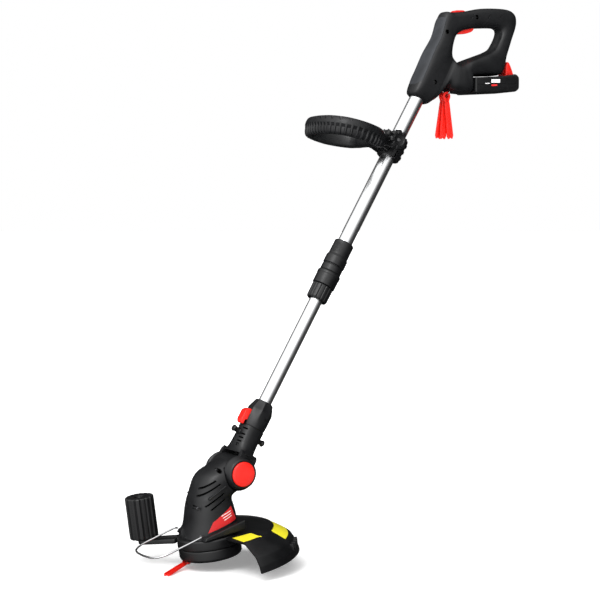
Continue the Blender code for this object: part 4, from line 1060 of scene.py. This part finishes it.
def motor_head():
    """Housing, guard, blade carrier, cutting blade, wire guard and edging wheel."""
    left = housing_half("housing_left", -1.0, "motor_shell_left")
    housing_half("housing_right", 1.0, "motor_shell_right")
    for i, ((x, z), y) in enumerate(zip(HOUSING_SCREWS, (-22.0, -34.0))):
        name = "housing_screw_%d" % (i + 1)
        screw("screw_housing_%d" % (i + 1), (x, y, z), HEAD, "head", name, length=16.0)
    # A black sheet down the middle of the hollow housing, behind the vents. It is painted shade, so the vents
    # look dark instead of letting light through from the far half's vents.
    shade_sheet_outline = rounded([(-22.0, -31.0), (-80.0, -34.0), (-70.0, -4.0), (-46.0, 9.0), (-33.0, 8.0)][::-1], 4.0)
    part("vent_shade_sheet", slab(anticlockwise(shade_sheet_outline), -1.0, 1.0, 0.3), HEAD, BLACK, "head")
    shield = guard()
    labels(left, shield)
    at = (SPINDLE_X, 0.0, 0.0)
    carrier = [(50.0, -141.0), (54.0, -139.8), (CARRIER_R, -136.0), (CARRIER_R, -121.0), (54.0, -119.0),
               (3.2, -119.0), (3.2, -127.0), (10.0, -127.5), (10.0, -141.0)]
    disc = turned(carrier, 120, at, hollow=True, soften=1.4)
    part("carrier_disc", disc, HEAD, BLACK, "spindle", "blade_carrier")
    peg_x, peg_y = SPINDLE_X - 42.0, 14.0
    under = BLADE_TOP - 4.0
    post = [(4.9, under - 2.4), (5.6, under - 1.9), (5.6, under - 0.5), (3.2, under - 0.5), (3.2, -141.3)]
    part("blade_pin", turned(post, 48, (peg_x, peg_y, 0.0), soften=0.3), HEAD, STEEL, "spindle", "blade_post")
    sweep_back = Matrix.Rotation(math.radians(34.0), 4, "Z")
    place = Matrix.Translation(Vector((peg_x, peg_y, BLADE_TOP))) @ sweep_back
    cutter = blade("live_blade", 77.0, 17.0, 4.0, 3.7, place, HEAD)
    piece(cutter, RED, "blade", ["cutting_blade"])
    edge_wheel()
    wire_guard()


# ---- kept frame nodes
def dress_kept_nodes():
    """Give the inner parts that stay as CAD their materials."""
    # The motor can gets the dark steel as painted shade for the inside of the housing, seen through the
    # vents.
    looks = {"motor_can": DARK_STEEL_AND_SHADE, "motor_shaft": STEEL, "motor_bearing": STEEL, "cooling_fan": BLACK,
             "tilt_axle": STEEL, "tilt_spring_left": STEEL, "tilt_spring_right": STEEL, "neck_spigot": BLACK,
             "power_lead": BLACK, "trigger_switch": BLACK, "trigger_spring": STEEL,
             "battery_terminal_block": BLACK, "battery_cells": CELL}
    for name, (material, slot) in looks.items():
        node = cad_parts[name]
        node.data.materials.clear()
        node.data.materials.append(material)


# ---- studio
FLOOR_HALF = 60.0                    # metres
GLOW_FROM = Vector((-0.66, -0.45, 0.60)).normalized()
KEY_AT = Vector((-1.9, -1.4, 2.6))
KEY_AIM = Vector((-0.1, 0.0, 0.4))
VIEW_AZIMUTH = math.radians(-31.0)
VIEW_ELEVATION = math.radians(3.0)
CAMERA_FROM_PIVOT = Vector((-1.39697, -2.56683, 0.45952))


def pale_floor():
    """A matt white floor that glows more with distance, so that it meets the backdrop unseen."""
    white = bpy.data.materials.new("floor_white")
    white.use_nodes = True
    tree = white.node_tree
    shader = tree.nodes["Principled BSDF"]
    shader.inputs["Roughness"].default_value = 0.9
    shader.inputs["Specular IOR Level"].default_value = 0.1
    shader.inputs["Base Color"].default_value = (0.92, 0.92, 0.92, 1.0)
    shader.inputs["Emission Color"].default_value = (1.0, 1.0, 1.0, 1.0)
    place = add_node(tree, "ShaderNodeTexCoord")
    away = add_node(tree, "ShaderNodeVectorMath")
    away.operation = "LENGTH"
    glow = add_node(tree, "ShaderNodeMapRange", From_Min=0.25, From_Max=1.6, To_Min=0.25, To_Max=0.9)
    glow.interpolation_type = "SMOOTHSTEP"
    tree.links.new(place.outputs["Object"], away.inputs[0])
    tree.links.new(away.outputs["Value"], glow.inputs["Value"])
    tree.links.new(glow.outputs["Result"], shader.inputs["Emission Strength"])
    bm = bmesh.new()
    corners = ((-1, -1), (1, -1), (1, 1), (-1, 1))
    bm.faces.new([bm.verts.new((x * FLOOR_HALF, y * FLOOR_HALF, 0.0)) for x, y in corners])
    mesh = bpy.data.meshes.new("floor")
    bm.to_mesh(mesh)
    bm.free()
    mesh.materials.append(white)
    ground = placed("floor", mesh)
    ground.visible_glossy = False


def backdrop():
    """A white dome that only the camera sees."""
    glowing = bpy.data.materials.new("backdrop_white")
    glowing.use_nodes = True
    tree = glowing.node_tree
    tree.nodes.clear()
    emission = add_node(tree, "ShaderNodeEmission", Strength=1.0)
    output = add_node(tree, "ShaderNodeOutputMaterial")
    tree.links.new(emission.outputs["Emission"], output.inputs["Surface"])
    levels = [(55.0, -1.0), (55.0, 30.0), (40.0, 50.0), (1.0, 58.0)]
    levels = [(radius / MM, height / MM) for radius, height in levels]
    dome = solid("backdrop", turned(levels, 48), Matrix.Identity(4))
    dome.data.materials.append(glowing)
    dome.visible_diffuse = False
    dome.visible_glossy = False
    dome.visible_transmission = False
    dome.visible_shadow = False


def lights():
    """A soft overhead glow from the front left, and one broad lamp that throws the soft shadow."""
    world = bpy.data.worlds.new("studio")
    bpy.context.scene.world = world
    world.use_nodes = True
    tree = world.node_tree
    background = tree.nodes["Background"]
    background.inputs["Color"].default_value = (1.0, 1.0, 1.0, 1.0)
    place = add_node(tree, "ShaderNodeTexCoord")
    facing = add_node(tree, "ShaderNodeVectorMath")
    facing.operation = "DOT_PRODUCT"
    facing.inputs[1].default_value = GLOW_FROM
    ramp = add_node(tree, "ShaderNodeMapRange", From_Min=-0.1, From_Max=0.95, To_Min=0.03, To_Max=1.9)
    ramp.interpolation_type = "SMOOTHSTEP"
    tree.links.new(place.outputs["Generated"], facing.inputs[0])
    tree.links.new(facing.outputs["Value"], ramp.inputs["Value"])
    tree.links.new(ramp.outputs["Result"], background.inputs["Strength"])

    light = bpy.data.lights.new("key", "AREA")
    light.size = 1.4
    light.energy = 45.0
    lamp = placed("key", light)
    lamp.location = KEY_AT
    lamp.rotation_euler = (KEY_AIM - KEY_AT).to_track_quat("-Z", "Y").to_euler()


def studio():
    """Pale floor, white backdrop, soft light and the camera."""
    pale_floor()
    backdrop()
    lights()
    level = math.cos(VIEW_ELEVATION)
    back = Vector((math.sin(VIEW_AZIMUTH) * level, -math.cos(VIEW_AZIMUTH) * level, math.sin(VIEW_ELEVATION)))
    camera = placed("camera", bpy.data.cameras.new("camera"))
    camera.data.lens = 98.36
    camera.data.sensor_width = 36.0
    camera.rotation_euler = back.to_track_quat("Z", "Y").to_euler()
    camera.location = PIVOT + CAMERA_FROM_PIVOT
    bpy.context.scene.camera = camera
    bpy.context.scene.view_settings.view_transform = "Standard"


shaft()
second_handle()
rear_handle()
battery()
spare_blades()
neck()
motor_head()
dress_kept_nodes()
studio()
